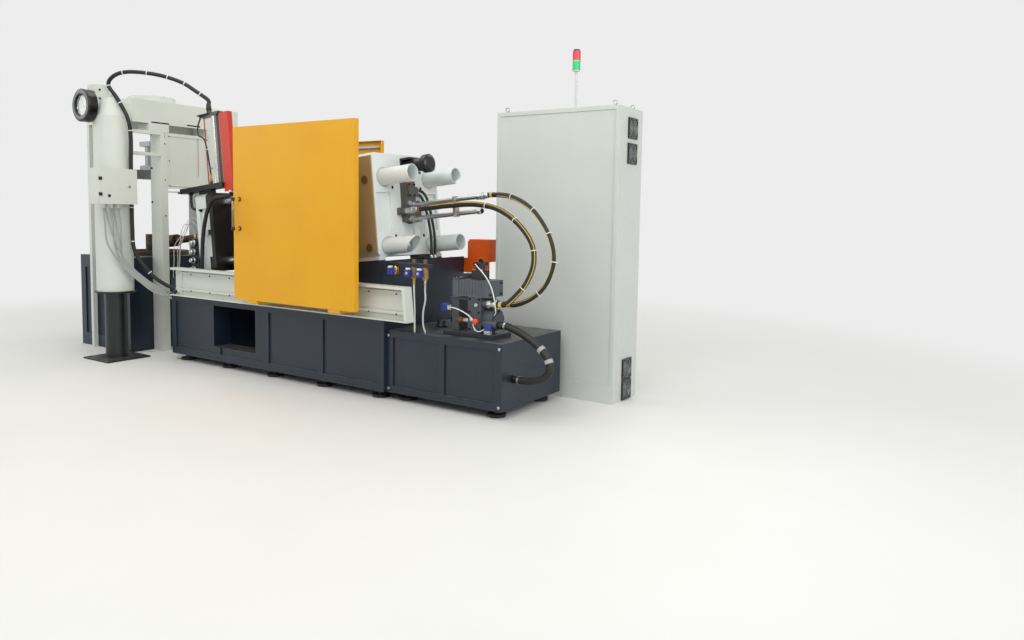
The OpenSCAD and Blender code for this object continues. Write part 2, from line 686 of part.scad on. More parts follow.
module rear_guard() color("#E5AE12") machine_frame() {
  y = [door_face_y - door_rim - 30, door_face_y - 30];
  x = [guard_left, guard_left + door_w];
  difference() {
    block(x, y, [door_bottom, door_bottom + door_h]);
    block([x[0] + door_sheet, x[1] - door_sheet], [y[0] - eps, y[1] - door_sheet],
      [door_bottom + door_sheet, door_bottom + door_h - door_sheet]);
  }
  for (px = [x[0] + guard_foot_inset, x[1] - guard_foot_inset - guard_foot_w])
    block([px, px + guard_foot_w], [bed_half_w + rail_depth, y[1] - door_sheet + eps],
      [rail_bottom + rail_h - guard_foot_h, rail_bottom + rail_h]);
  translate([0, y[1] - door_sheet - guard_cylinder_d / 2 + eps, guard_rod_z]) {
    rod_x([x[0] + door_sheet - eps, x[0] + door_w / 2], guard_cylinder_d);
    rod_x([x[0] + door_w / 2 - eps, x[1] - door_sheet + eps], guard_rod_d);
  }
}

// Furnace end
module furnace_body() color("#1C2534") machine_frame() difference() {
  block([-furnace_right - furnace_length, -furnace_right], [-furnace_half_w, furnace_half_w], [0, furnace_h]);
  translate([-furnace_right - furnace_length / 2, 0, 0]) rod_z([furnace_h / 2, furnace_h + eps], pot_d);
  both_sides() block([-furnace_right - furnace_length + 80, -furnace_right - 80],
    [furnace_half_w - recess_depth, furnace_half_w + eps], [120, furnace_h - 120]);
}
pot_x = -furnace_right - furnace_length / 2;
pot_wall = 30;
pot_rim_h = 40;
module furnace_pot() color("#5A5046") machine_frame() translate([pot_x, 0, 0]) difference() {
  union() {
    rod_z([furnace_h, furnace_h + pot_rim_h], pot_d + 80);
    rod_z([furnace_h / 2, furnace_h + eps], pot_d - 2);
  }
  rod_z([furnace_h / 2 + pot_wall, furnace_h + pot_rim_h + eps], pot_d - 2 * pot_wall);
}
yoke_z = 1660;
yoke_h = 90;
yoke_column = 100;
yoke_inset = 20;
shot_cylinder_h = 290;
plunger_d = 50;
goose_top = axis_z + pot_x * tan(clamp_tilt) + 90;
shot_d = 150;
shot_head_w = 180;
module shot_unit() color("#7C8084") machine_frame() translate([pot_x, 0, 0]) {
  both_sides() block(yoke_column / 2 * [-1, 1], [furnace_half_w - yoke_column, furnace_half_w - yoke_inset],
    [furnace_h, yoke_z + eps]);
  block((yoke_column / 2 + yoke_inset) * [-1, 1], (furnace_half_w - yoke_inset) * [-1, 1],
    [yoke_z, yoke_z + yoke_h]);
  // Shot cylinder between two square heads, over the plunger rod
  rod_z([yoke_z + yoke_h - eps, yoke_z + yoke_h + shot_cylinder_h], shot_d);
  for (z = [yoke_z + yoke_h, yoke_z + yoke_h + shot_cylinder_h - yoke_column / 2])
    block(shot_head_w / 2 * [-1, 1], shot_head_w / 2 * [-1, 1], [z, z + yoke_column / 2]);
  rod_z([goose_top, yoke_z + eps], plunger_d);
}
spout_d = 120;
spout_end_u = -1120;
goose_d = 170;
module nozzle() color("#54504B") {
  clamp_frame() {
    rod_x([spout_end_u, -2], nozzle_d);
    rod_x([pot_x / cos(clamp_tilt), spout_end_u + eps], spout_d);
  }
  machine_frame() translate([pot_x, 0, 0]) rod_z([furnace_h / 2 + 60, goose_top], goose_d);
}

// Fume hood on its posts
hood_x = [-hood_face_x - hood_length, -hood_face_x];
hood_z = [hood_bottom, hood_bottom + hood_h];
module fume_hood() color("#C9CDC4") machine_frame() {
  difference() {
    block(hood_x, [-hood_half_w, hood_half_w], hood_z);
    block([hood_x[0] + hood_sheet, hood_x[1] - hood_sheet],
      [-hood_half_w + hood_sheet, hood_half_w - hood_sheet],
      [hood_z[0] - eps, hood_z[1] - hood_sheet]);
    translate([collar_x, collar_y, 0]) rod_z([hood_z[0], hood_z[1] + eps], collar_d - 2 * hood_sheet);
  }
  translate([collar_x, collar_y, 0]) difference() {
    rod_z([hood_z[1] - eps, hood_z[1] + collar_h], collar_d);
    rod_z([hood_z[1] - 2 * eps, hood_z[1] + collar_h + eps], collar_d - 2 * hood_sheet);
  }
}
collar_x = -hood_face_x - collar_d / 2 - 70;
collar_y = -200;
post_top = hood_bottom - 68;
arm_h = 30;
module hood_frame() color("#C9CDC4") machine_frame() {
  x = [-hood_face_x - post_x, -hood_face_x];
  both_sides() {
    block(x, [post_inner_y, post_inner_y + post_y], [0, post_top]);
    block([x[0], x[1]], [post_inner_y - 20, post_inner_y + post_y + 120], [post_top, hood_bottom]);
    translate([hood_x[0], hood_half_w - thin_post, 0])
      block([0, thin_post], [0, thin_post], [0, hood_bottom]);
  }
}
arm_zs = [acc_shoulder - 320, acc_shoulder - 120];
module accumulator_arms() for (z = arm_zs)
  block([-acc_x - 20, -acc_x + 33], [-acc_y + acc_d / 2 - 8, -post_inner_y - post_y], [z, z + arm_h]);
panel_z = [1560, 2086];
panel_t = 24;
panel_rim = 30;
panel_back = 6;
panel_rod_d = 16;
module hood_panel() color("#BFC3BA") machine_frame() {
  translate([-hood_face_x - panel_back, 0, 0]) {
    difference() {
      block([-panel_t, 0], post_inner_y * [-1, 1], panel_z);
      block([-panel_back, eps], (post_inner_y - panel_rim) * [-1, 1],
        [panel_z[0] + panel_rim, panel_z[1] - panel_rim]);
    }
    translate([-panel_t / 2, 0, panel_z[0] - panel_rim]) rod_y(post_inner_y * [-1, 1], panel_rod_d);
  }
}

// Accumulator with its gauge block, on a floor stand
block_x = [-acc_x - 132, -acc_x - 132 + gauge_block];
block_y = [-acc_y - 140, -acc_y - 140 + gauge_block];
block_z = [acc_shoulder - 10, acc_top + 110];
acc_neck = [90, 34];
module accumulator() color("#CDD0C6") machine_frame() {
  translate([-acc_x, -acc_y, 0]) {
    rod_z([acc_bottom, acc_shoulder], acc_d);
    translate([0, 0, acc_shoulder - eps])
      cylinder(h = acc_top - acc_shoulder + eps, d1 = acc_d - 6, d2 = acc_d * 0.6);
    rod_z([acc_top - eps, acc_top + acc_neck[1]], acc_neck[0]);
  }
  block(block_x, block_y, block_z);
}
stand_side = 400;
stand_plate_t = 15;
anchor_pitch = 320;
anchor_d = 18;
module accumulator_stand() color("#2A2F36") machine_frame() {
  translate([-acc_x, -acc_y, 0]) {
    rod_z([stand_plate_t - eps, acc_bottom], acc_d * 0.6);
    rod_z([acc_bottom - stand_plate_t, acc_bottom], acc_d + 30);
    difference() {
      block(stand_side / 2 * [-1, 1], stand_side / 2 * [-1, 1], [0, stand_plate_t]);
      for (x = [-1, 1], y = [-1, 1]) translate([x * anchor_pitch / 2, y * anchor_pitch / 2, 0])
        rod_z([-eps, stand_plate_t + eps], anchor_d);
    }
  }
  difference() {
    accumulator_arms();
    translate([-acc_x, -acc_y, 0]) rod_z([acc_bottom, acc_shoulder], acc_d);
  }
}
gauge_y = -acc_y - 140;
gauge_stem = [60, 20];
dial_recess = 24;
module pressure_gauge() color("#141516") machine_frame()
  translate([(block_x[0] + block_x[1]) / 2, gauge_y - gauge_stem[1], gauge_z]) {
    rod_y([0, gauge_stem[1]], gauge_stem[0]);
    difference() {
      rod_y([-gauge_depth, eps], gauge_d);
      rod_y([-gauge_depth - eps, -gauge_depth + dial_recess], gauge_d * 0.66);
    }
  }

// Junction box with its hinged door facing the die end
jbox_x = [jbox_face_x - jbox_door_t - jbox_depth, jbox_face_x - jbox_door_t];
jbox_y = [jbox_front_y, jbox_front_y + jbox_w];
jbox_z = [jbox_bottom, jbox_bottom + jbox_h];
hinge_d = 14;
module junction_box() color("#CDD0C6") machine_frame() {
  difference() {
    block(jbox_x, jbox_y, jbox_z);
    block([jbox_x[0] + jbox_wall, jbox_x[1] + eps], [jbox_y[0] + jbox_wall, jbox_y[1] - jbox_wall],
      [jbox_z[0] + jbox_wall, jbox_z[1] - jbox_wall]);
  }
  difference() {
    block([-acc_x + 60, jbox_x[0] + eps], [-acc_y - 70, -acc_y + 48],
      [jbox_bottom + 40, jbox_bottom + jbox_h - 40]);
    translate([-acc_x, -acc_y, 0]) rod_z([acc_bottom, acc_shoulder], acc_d);
  }
  // Cable glands under the box and the plate that clamps the harness behind it
  for (i = [0:2]) translate([(jbox_x[0] + jbox_x[1]) / 2, jbox_y[0] + jbox_w / 4 + i * jbox_gland_pitch, 0])
    rod_z([jbox_bottom - jbox_gland_h, jbox_bottom + eps], jbox_gland_d);
  block([jbox_x[0] - 12, jbox_x[0] + 40], [jbox_y[1] - eps, jbox_y[1] + 5],
    [jbox_bottom + 70, jbox_bottom + 180]);
}
jbox_gland_d = 30;
jbox_gland_h = 34;
jbox_gland_pitch = 66;
door_gap = 0.5;
module junction_box_door() color("#CDD0C6") machine_frame() {
  block([jbox_x[1] + door_gap, jbox_face_x], jbox_y, jbox_z);
  for (z = [jbox_z[0] + 50, jbox_z[1] - 90])
    translate([jbox_face_x - hinge_d / 2, jbox_y[0] - 1, 0]) rod_z([z, z + 40], hinge_d);
}

// Spray unit on the fixed platen
spray_y = -350;
bar_w = [platen_h / 2 + 28, platen_h / 2 + 72];
spray_left = -420;
bar_half_w = 45;
tube_us = [-50, 165];
tube_d = 10;
lift_rod_u = 88;
rack_u = [116, 146];
cap_u = [-92, 178];
cap_t = 26;
cap_wing = 10;
rack_y = [-22, 22];
cap_y = [-30, 30];
wing_y = [-42, 42];
gland_d = 44;
gland_h = 30;
gland_u = 30;
module spray_base() color("#191A1C") clamp_frame() {
  difference() {
    block([spray_left, channel_u], [spray_y - bar_half_w, spray_y + bar_half_w], bar_w);
    // Slot along the bar in which the spray head's slide runs
    block([spray_left + bar_half_w, -fixed_t], [spray_y - slot_w / 2, spray_y + slot_w / 2],
      [bar_w[0] - eps, bar_w[1] + eps]);
  }
  block([-fixed_t + platen_corner, -platen_corner],
    [-platen_w / 2 + platen_corner, spray_y + bar_half_w + eps], [platen_h / 2, bar_w[0] + eps]);
  translate([spray_left, spray_y, (bar_w[0] + bar_w[1]) / 2]) {
    rod_x([-stop_l, eps], stop_d);
    rod_x([-stop_l / 2, -stop_l / 3], 2 * stop_d);
  }
}
slot_w = 24;
stop_d = 18;
stop_l = 90;
module spray_rods() color("#C9C4C2") clamp_frame() translate([0, spray_y, 0]) {
  for (u = tube_us) translate([u, 0, 0]) rod_z([bar_w[1], cap_w + eps], tube_d);
  translate([lift_rod_u, 0, 0]) rod_z([bar_w[1], cap_w + eps], spray_rod_d);
  block(rack_u, rack_y, [bar_w[1], cap_w + eps]);
  block([tube_us[0] - cap_t, cap_u[1]], cap_y, [cap_w, cap_w + cap_t]);
  block([cap_u[0], gland_u + gland_d / 2], wing_y, [cap_w + cap_t - cap_wing, cap_w + cap_t]);
  translate([gland_u, 0, 0]) rod_z([cap_w + cap_t - eps, cap_w + cap_t + gland_h], gland_d);
}
cap_w = bar_w[1] + spray_lift;
channel_u = spray_left + spray_bar_length;
channel_wall = 8;
channel_w = bar_w[0] - 40;
module spray_channel() color("#BE3214") clamp_frame()
  translate([channel_u, spray_y, channel_w]) difference() {
    block([0, channel_x], channel_y / 2 * [-1, 1], [0, channel_h]);
    block([-eps, channel_x - channel_wall], (channel_y / 2 - channel_wall) * [-1, 1], [-eps, channel_h + eps]);
  }
stack_x = [-450, -330];
stack_y = [-296, -180];
stack_h = 350;
stack_corner = 30;
knob_rose = [58, 20];
knob_reach = 50;
knob_pitch = 80;
knob_z = 70;
knob_d = 42;
module valve_stack() color("#2B2F33") machine_frame() {
  foot_z = bed_top(stack_x[0]);
  translate([0, stack_y[1], 0]) rotate([90, 0, 0]) linear_extrude(stack_y[1] - stack_y[0])
    polygon([[stack_x[0], foot_z], [stack_x[1], bed_top(stack_x[1])],
      [stack_x[1], foot_z + stack_h - stack_corner], [stack_x[1] - stack_corner, foot_z + stack_h],
      [stack_x[0], foot_z + stack_h]]);
  for (i = [0:3]) translate([(stack_x[0] + stack_x[1]) / 2, stack_y[0], foot_z + knob_z + i * knob_pitch]) {
    rod_y([-knob_rose[1], eps], knob_rose[0]);
    rod_y([-knob_reach, -knob_rose[1] + eps], knob_d);
  }
}

// Oil tank with the pump set
tank_x = [bed_right, bed_right + tank_length];
module oil_tank() color("#18202E") machine_frame() difference() {
  block(tank_x, [-tank_front_y, tank_back_y], [foot_h, tank_top]);
  for (i = [0:1]) block([tank_x[0] + 60 + i * 470, tank_x[0] + 480 + i * 470],
    [-tank_front_y - eps, -tank_front_y + recess_depth], [foot_h + 50, tank_top - 50]);
}
pump_x = 2560;
pump_y = [-330, -150];
pump_mid_y = (pump_y[0] + pump_y[1]) / 2;
pump_port_x = 330;
pump_port_z = 750;
pump_port_ys = [-300, -220];
pump_port_d = 50;
pump_plate_t = 30;
pump_plate_lap = 20;
manifold_x = [180, 290];
shelf_z = [766, 782];
shelf_y = [pump_y[0] + 30, pump_y[1] - 30];
leg_x = [20, 80];
motor_x = [50, 50 + motor_length];
motor_flange = [50, 6, 12];
motor_z = [796, 796 + 0.6 * motor_side];
motor_box = [64, 116, 36];
relief_x = 220;
relief_foot = [90, 66];
relief_h = 110;
relief_head = [110, 32];
casing_d = 150;
casing_z = 640;
casing_x = [290, 370];
casing_end = [105, 20];
suction_z = 610;
suction_x = 410;
suction_port_d = 64;
module pump_set() color("#3A3D44") machine_frame() translate([pump_x, 0, 0]) {
  plate_z = tank_top + pump_plate_t;
  block([-pump_plate_lap, suction_x], [pump_y[0] - pump_plate_lap, pump_y[1] + pump_plate_lap],
    [tank_top, plate_z]);
  // Manifold that the pump, the motor and the valves are bolted to
  block(manifold_x, pump_y, [plate_z - eps, motor_z[0] + eps]);
  block([0, manifold_x[0] + eps], shelf_y, shelf_z);
  block(leg_x, shelf_y, [plate_z - eps, shelf_z[0] + eps]);
  // Servo motor with its flange and terminal housing
  block([motor_x[0], motor_x[0] + motor_flange[0]],
    [pump_y[0] - motor_flange[1], pump_y[1] + motor_flange[1]], [motor_z[0], motor_z[1] + motor_flange[2]]);
  block(motor_x, pump_y, motor_z);
  block([motor_box[0], motor_box[1]], [pump_mid_y, shelf_y[1]],
    [motor_z[1] - eps, motor_z[1] + motor_box[2]]);
  // Relief valve on top with its cross head
  translate([relief_x, pump_mid_y, motor_z[1]]) {
    block(relief_foot[0] / 2 * [-1, 1], relief_foot[0] / 2 * [-1, 1], [-eps, relief_foot[1]]);
    rod_z([0, relief_h], relief_foot[1]);
    translate([0, 0, relief_h]) rod_y(relief_head[0] / 2 * [-1, 1], relief_head[1]);
  }
  // Pump casing and suction port beside the manifold
  translate([0, pump_mid_y, casing_z]) {
    rod_x([casing_x[0] - eps, casing_x[1]], casing_d);
    rod_x([casing_x[1] - eps, casing_x[1] + casing_end[1]], casing_end[0]);
  }
  translate([0, suction_y, suction_z]) rod_x([casing_x[0] - eps, suction_x], suction_port_d);
  for (y = pump_port_ys) translate([0, y, pump_port_z])
    rod_x([manifold_x[1] - eps, pump_port_x], pump_port_d);
}
valve_xs = [2338, 2440];
valve_row = [985, 1010];
valve_row_y = [-445, -415];
valve_row_end = 2500;
valve_foot_t = 14;
valve_drop = 80;
valve_body = 44;
valve_arm_d = 34;
valve_reach = 46;
coil_w = 48;
coil_t = 34;
valve_cap = [30, 30];
module water_valves() color("#28327E") machine_frame() {
  block([bed_right, valve_row_end], valve_row_y, valve_row);
  block([bed_right, bed_right + valve_foot_t], [-bed_half_w, valve_row_y[1]],
    [valve_row[0] - valve_drop, valve_row[1]]);
  for (x = valve_xs) translate([x, (valve_row_y[0] + valve_row_y[1]) / 2, valve_row[0]]) {
    rod_z([-valve_drop, eps], valve_body);
    translate([0, 0, -valve_drop / 2]) {
      rod_y([-valve_reach, 0], valve_arm_d);
      block(coil_w / 2 * [-1, 1], [-valve_reach - coil_t, -valve_reach + eps], coil_w / 2 * [-1, 1]);
    }
    translate([0, 0, valve_row[1] - valve_row[0]]) rod_z([-eps, valve_cap[1]], valve_cap[0]);
  }
}
terminal_gap = 30;
terminal_w = 220;
terminal_h = 180;
terminal_depth = 140;
terminal_z = 977;
terminal_corner = 14;
terminal_plate = [150, 10, 120];
module terminal_box() color("#D25014") machine_frame() {
  block([bed_right - terminal_plate[0], bed_right + terminal_gap + terminal_w],
    [bed_half_w, bed_half_w + terminal_plate[1]],
    [terminal_z - terminal_plate[2] + 2 * terminal_corner, terminal_z + 2 * terminal_corner]);
  translate([bed_right + terminal_gap, bed_half_w + terminal_plate[1] - eps, terminal_z]) difference() {
    block([0, terminal_w], [0, terminal_depth], [0, terminal_h]);
    for (z = [0, terminal_h]) translate([0, 0, z]) rotate([0, 45, 0])
      block(terminal_corner * [-1, 1], [-eps, terminal_depth + eps], terminal_corner * [-1, 1]);
  }
}

// Hoses and the wiring harness, along routes chosen by hand
hose_d = 36;
function from_clamp(u, y, w) =
  [u * cos(clamp_tilt) - w * sin(clamp_tilt), y, axis_z + u * sin(clamp_tilt) + w * cos(clamp_tilt)];
hose_seat = 0.3;
function off_pipe(l) = from_clamp(head_u + pipe_length + l, pipe_y, pipe_ws[0]);
function off_port(l) = from_clamp(head_u + port_l + l, port_y, 0);
function off_pump(y, l) = [pump_x + pump_port_x + l, y, pump_port_z];
hose_a = [off_pipe(hose_seat), off_pipe(40), off_pipe(110), [2940, -90, 1486], [3130, -130, 1400],
  [3280, -165, 1240], [3335, -180, 1070], [3290, -195, 910], [3190, -208, 808], [3070, -218, 756],
  off_pump(pump_port_ys[1], 90), off_pump(pump_port_ys[1], 45), off_pump(pump_port_ys[1], hose_seat)];
hose_b = [off_port(hose_seat), off_port(40), off_port(110), [2420, port_y, 1424], [2650, -125, 1432],
  [2870, -170, 1400], [3060, -215, 1310], [3190, -240, 1180], [3225, -260, 1050], [3185, -275, 920],
  [3110, -290, 825], [3040, -299, 765],
  off_pump(pump_port_ys[0], 90), off_pump(pump_port_ys[0], 45), off_pump(pump_port_ys[0], hose_seat)];
// Suction hose from the pump round into the tank's end
suction_d = 50;
suction_y = pump_port_ys[0] + 10;
function off_suction(l) = [pump_x + suction_x + l, suction_y, suction_z];
function off_tank(l) = [bed_right + tank_length + l, -310, 260];
suction_hose = [off_suction(hose_seat), off_suction(30), off_suction(70), [3150, -296, 578], [3265, -300, 522],
  [3360, -305, 445], [3395, -310, 360], [3340, -310, 290], [3240, -310, 262],
  off_tank(70), off_tank(30), off_tank(hose_seat)];
module closing_hoses() color("#191916") machine_frame() {
  hose(hose_a, hose_d);
  hose(hose_b, hose_d);
  hose(suction_hose, suction_d);
}
lube_d = 22;
lube_ws = [168, 136];
lube_ys = [168, 124];
lube_start_y = 70;
lube_off = 26;
lube_foot_x = clamp_length + 120;
function beside_tail(u, y, w) = from_clamp(clamp_length + u, y, w);
function off_lube(i, l) = beside_tail(lube_off, lube_start_y + l, lube_ws[i]);
function lube_foot(i, l) = [lube_foot_x, lube_ys[i], bed_top(lube_foot_x) + l];
lube_a = [off_lube(0, hose_seat), off_lube(0, 20), off_lube(0, 44), beside_tail(38, 152, 146),
  beside_tail(56, 167, 100), beside_tail(74, 168, 30), beside_tail(90, 168, -60), beside_tail(102, 168, -150),
  beside_tail(104, 168, -230), lube_foot(0, 60), lube_foot(0, 30), lube_foot(0, 4)];
lube_b = [off_lube(1, hose_seat), off_lube(1, 14), off_lube(1, 28), beside_tail(40, 118, 112),
  beside_tail(58, 124, 70), beside_tail(76, 124, 0), beside_tail(92, 124, -80), beside_tail(102, 124, -160),
  beside_tail(104, 124, -230), lube_foot(1, 60), lube_foot(1, 30), lube_foot(1, 4)];
module lube_hoses() color("#1A1A18") machine_frame() {
  hose(lube_a, lube_d, 8);
  hose(lube_b, lube_d, 8);
}
function off_gland(l) = from_clamp(gland_u, spray_y, cap_w + cap_t + gland_h + l);
harness_route = [[-bed_left - hose_seat, -400, 640], [-bed_left - 30, -400, 640], [-bed_left - 65, -404, 642],
  [-600, -460, 672], [-680, -560, 780], [-755, -655, 980], [-770, -666, 1200], [-770, -666, 1450],
  [-770, -666, 1750], [-760, -668, 2010], [-752, -700, 2170], [-815, -750, 2330], [-868, -800, 2450],
  [-790, -780, 2530], [-650, -720, 2555], [-440, -600, 2530], [-270, -490, 2470], [-165, -410, 2390],
  off_gland(90), off_gland(45), off_gland(hose_seat)];
harness_d = 34;
module spray_harness() color("#151515") machine_frame() hose(harness_route, harness_d, 10);

// Cable trunk from the bed to the cabinet
trunk_z = [200, 320];
module cable_trunk() color("#B9C0BC") machine_frame()
  block([bed_right, cabinet_left], [cabinet_y, bed_half_w], trunk_z);

// Control cabinet
plinth_h = 100;
cabinet_rim = 30;
panel_depth = 6;
seam = 4;
module cabinet_body() color("#B9C0BC") machine_frame() difference() {
  block([cabinet_left, cabinet_left + cabinet_w], [cabinet_y, cabinet_y + cabinet_depth], [0, cabinet_h]);
  panel_x = [cabinet_left + cabinet_rim, cabinet_left + cabinet_w - cabinet_rim];
  back_y = [cabinet_y + cabinet_depth - panel_depth, cabinet_y + cabinet_depth + eps];
  block(panel_x, [cabinet_y - eps, cabinet_y + panel_depth],
    [plinth_h + cabinet_rim, cabinet_h - cabinet_rim]);
  // Doors on the far side: a seam round them and one between them, over the plinth
  for (x = [panel_x[0], cabinet_left + cabinet_w / 2, panel_x[1] - seam])
    block([x, x + seam], back_y, [plinth_h, cabinet_h - cabinet_rim]);
  for (z = [plinth_h, cabinet_h - cabinet_rim]) block(panel_x, back_y, [z, z + seam]);
}
fan_side = 150;
fan_y = cabinet_y + 218;
fan_zs = [cabinet_h - 147, cabinet_h - 330, 236, 80];
fan_rim = 10;
module cabinet_fans() color("#17181A") machine_frame()
  for (z = fan_zs) translate([x_max - fan_t, fan_y, z]) difference() {
    block([0, fan_t], fan_side / 2 * [-1, 1], fan_side / 2 * [-1, 1]);
    block([fan_t / 2, fan_t + eps], (fan_side / 2 - fan_rim) * [-1, 1], (fan_side / 2 - fan_rim) * [-1, 1]);
  }
lamp_x = cabinet_left + 578;
lamp_ring = 8;
lamp_cap = 14;
lamp_step = 6;
module tower_light() color("#3A9A4A") machine_frame()
  translate([lamp_x, cabinet_y + cabinet_depth / 2, cabinet_h]) {
    rod_z([0, lamp_cap], lamp_d + 3 * lamp_step);
    rod_z([lamp_cap - eps, pole_h + eps], lamp_d / 3);
    for (i = [0, 1]) translate([0, 0, pole_h + i * (lamp_h + lamp_ring)]) {
      rod_z([0, lamp_ring + eps], lamp_d - lamp_step);
      rod_z([lamp_ring, lamp_ring + lamp_h + eps], lamp_d);
    }
    translate([0, 0, pole_h + 2 * (lamp_h + lamp_ring)]) rod_z([0, lamp_cap], lamp_d - 2 * lamp_step);
  }

bed_side_beams();
bed_cross_blocks();
bed_feet();
bed_rails();
fixed_platen();
moving_platen();
tail_platen();
tail_side_cover();
tie_bars();
tie_bar_covers();
die_height_motor();
toggle_links();
crosshead();
closing_cylinder();
cover_die();
ejector_die();
front_door();
rear_guard();
fume_hood();
hood_frame();
hood_panel();
furnace_body();
furnace_pot();
shot_unit();
nozzle();
accumulator();
accumulator_stand();
pressure_gauge();
junction_box();
junction_box_door();
spray_base();
spray_channel();
spray_rods();
valve_stack();
oil_tank();
pump_set();
water_valves();
terminal_box();
closing_hoses();
lube_hoses();
spray_harness();
cable_trunk();
cabinet_body();
cabinet_fans();
tower_light();
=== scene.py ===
"""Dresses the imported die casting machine: finishes, hoses, fittings, fasteners, stage and camera."""

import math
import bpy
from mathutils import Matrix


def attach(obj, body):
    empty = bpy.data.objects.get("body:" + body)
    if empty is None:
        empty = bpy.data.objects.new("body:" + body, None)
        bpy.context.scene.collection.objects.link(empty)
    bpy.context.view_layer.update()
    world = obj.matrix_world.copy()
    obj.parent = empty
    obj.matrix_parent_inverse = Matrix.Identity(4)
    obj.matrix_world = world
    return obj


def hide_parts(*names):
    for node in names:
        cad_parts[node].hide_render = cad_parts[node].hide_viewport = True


bl_info = {
    "name": "Die casting machine",
    "version": (1, 0, 0),
    "blender": (4, 5, 0),
    "location": "View3D > Sidebar > Machine",
    "description": "Finishes, hoses, fittings and stage for the packed die casting machine",
    "category": "Object",
}

import bmesh
import bpy
from bpy.props import FloatProperty, FloatVectorProperty, IntProperty, StringProperty
from mathutils import Matrix, Vector, noise

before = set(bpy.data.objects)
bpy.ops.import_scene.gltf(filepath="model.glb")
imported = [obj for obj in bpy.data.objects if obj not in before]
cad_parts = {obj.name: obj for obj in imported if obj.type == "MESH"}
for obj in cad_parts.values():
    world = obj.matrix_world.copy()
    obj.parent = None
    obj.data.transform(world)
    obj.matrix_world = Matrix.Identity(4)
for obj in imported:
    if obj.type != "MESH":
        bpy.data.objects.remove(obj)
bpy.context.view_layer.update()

# The part's own layout in millimetres: x from the die face to the tail, y from the clamp's
# centreline and z from the floor. MACHINE turns it into the row frame's metres.
MM = 0.001
MACHINE = Matrix.Translation((-0.796, 0.124, 0)) @ Matrix.Scale(MM, 4)
TILT = math.radians(6)
AXIS_Z = 1172
CLAMP_MM = Matrix.Translation((0, 0, AXIS_Z)) @ Matrix.Rotation(-TILT, 4, "Y")
CLAMP = MACHINE @ CLAMP_MM
# drop of the clamp's ways below its axis, and the faces of the tail and of the cylinder's head
WAY_DROP = 375
TAIL_U = 1925
HEAD_U = 1985
# the tie bars' distance from the axis both ways, and the spray unit's centre plane
BAR_Y = 260
SPRAY_Y = -350
# the pump manifold's face that the closing hoses end on, and the face of the bed at the furnace
MANIFOLD_X = 2890.3
BED_END_X = -480.3
GAUGE = Vector((-1000, -970, 2258))
FAN_CENTRES = tuple(Vector((3516, 618, z)) for z in (2003, 1820, 236, 80))
VALVE_XS = (2338, 2440)
GRIP = Vector((768, -752, 0))
FLOOR_RADIUS = 60000
# the photograph's width, and how far its middle lies below the lens's axis, both in pixels
PHOTO_WIDTH = 1024
PHOTO_DROP = 49

X, Y, Z = Vector((1, 0, 0)), Vector((0, 1, 0)), Vector((0, 0, 1))
U, W = CLAMP_MM.to_3x3() @ X, CLAMP_MM.to_3x3() @ Z


def clamp(u, y, w):
    """A point of the tilted clamp unit, in the machine's millimetres."""
    return CLAMP_MM @ Vector((u, y, w))


def bed_top(x):
    """The height of the bed's sloped top at x."""
    return AXIS_Z + x * math.tan(TILT) - WAY_DROP / math.cos(TILT)


# Sizes and colours that a user would change


def colour(name, about, value):
    """A colour property from an sRGB hex value."""
    return StringProperty(name=name, description=about, default=value)


class PaintSettings(bpy.types.PropertyGroup):
    bed: colour("Bed", "Navy enamel of the bed, tank and furnace", "#1B2533")
    sheet: colour("Sheet metal", "Cream powder coat of hood, rails and boxes", "#D3D7CF")
    casting: colour("Castings", "Off-white enamel of the platens", "#DDE4E3")
    door: colour("Door", "Yellow powder coat of the sliding door", "#DFA000")
    cabinet: colour("Cabinet", "Grey powder coat of the control cabinet", "#C8CDC9")
    channel: colour("Channel", "Red enamel of the spray channel", "#C22C08")
    terminal: colour("Terminal box", "Orange enamel of the rear terminal box", "#E85A10")
    valves: colour("Solenoids", "Blue lacquer of the solenoid valves", "#27348C")
    # the side cover's tan is painted shade and a painted reflection of the yellow door beside it
    side_cover: colour("Side cover", "Tan primer of the tail's side cover", "#A38C66")


class HoseSettings(bpy.types.PropertyGroup):
    hose_d: FloatProperty(name="Hose", description="Diameter of the closing hoses", default=0.036,
                          min=0.02, max=0.06, unit="LENGTH")
    suction_d: FloatProperty(name="Suction hose", description="Diameter of the suction hose", default=0.05,
                             min=0.02, max=0.08, unit="LENGTH")
    lube_d: FloatProperty(name="Lube hose", description="Diameter of the two hoses at the tail",
                          default=0.022, min=0.01, max=0.03, unit="LENGTH")
    harness_d: FloatProperty(name="Harness", description="Diameter of the spray unit's harness",
                             default=0.034, min=0.015, max=0.05, unit="LENGTH")
    tie_w: FloatProperty(name="Tie width", description="Width of a cable tie", default=0.008,
                         min=0.003, max=0.02, unit="LENGTH")
    sides: IntProperty(name="Sides", description="Sides of a hose's section", default=20, min=8, max=48)


class GuardSettings(bpy.types.PropertyGroup):
    wire_d: FloatProperty(name="Guard wire", description="Wire of the fan guards", default=0.0024,
                          min=0.001, max=0.005, unit="LENGTH")
    rings: IntProperty(name="Guard rings", description="Rings of a fan guard", default=5, min=2, max=9)
    blades: IntProperty(name="Fan blades", description="Blades of a fan", default=7, min=3, max=12)


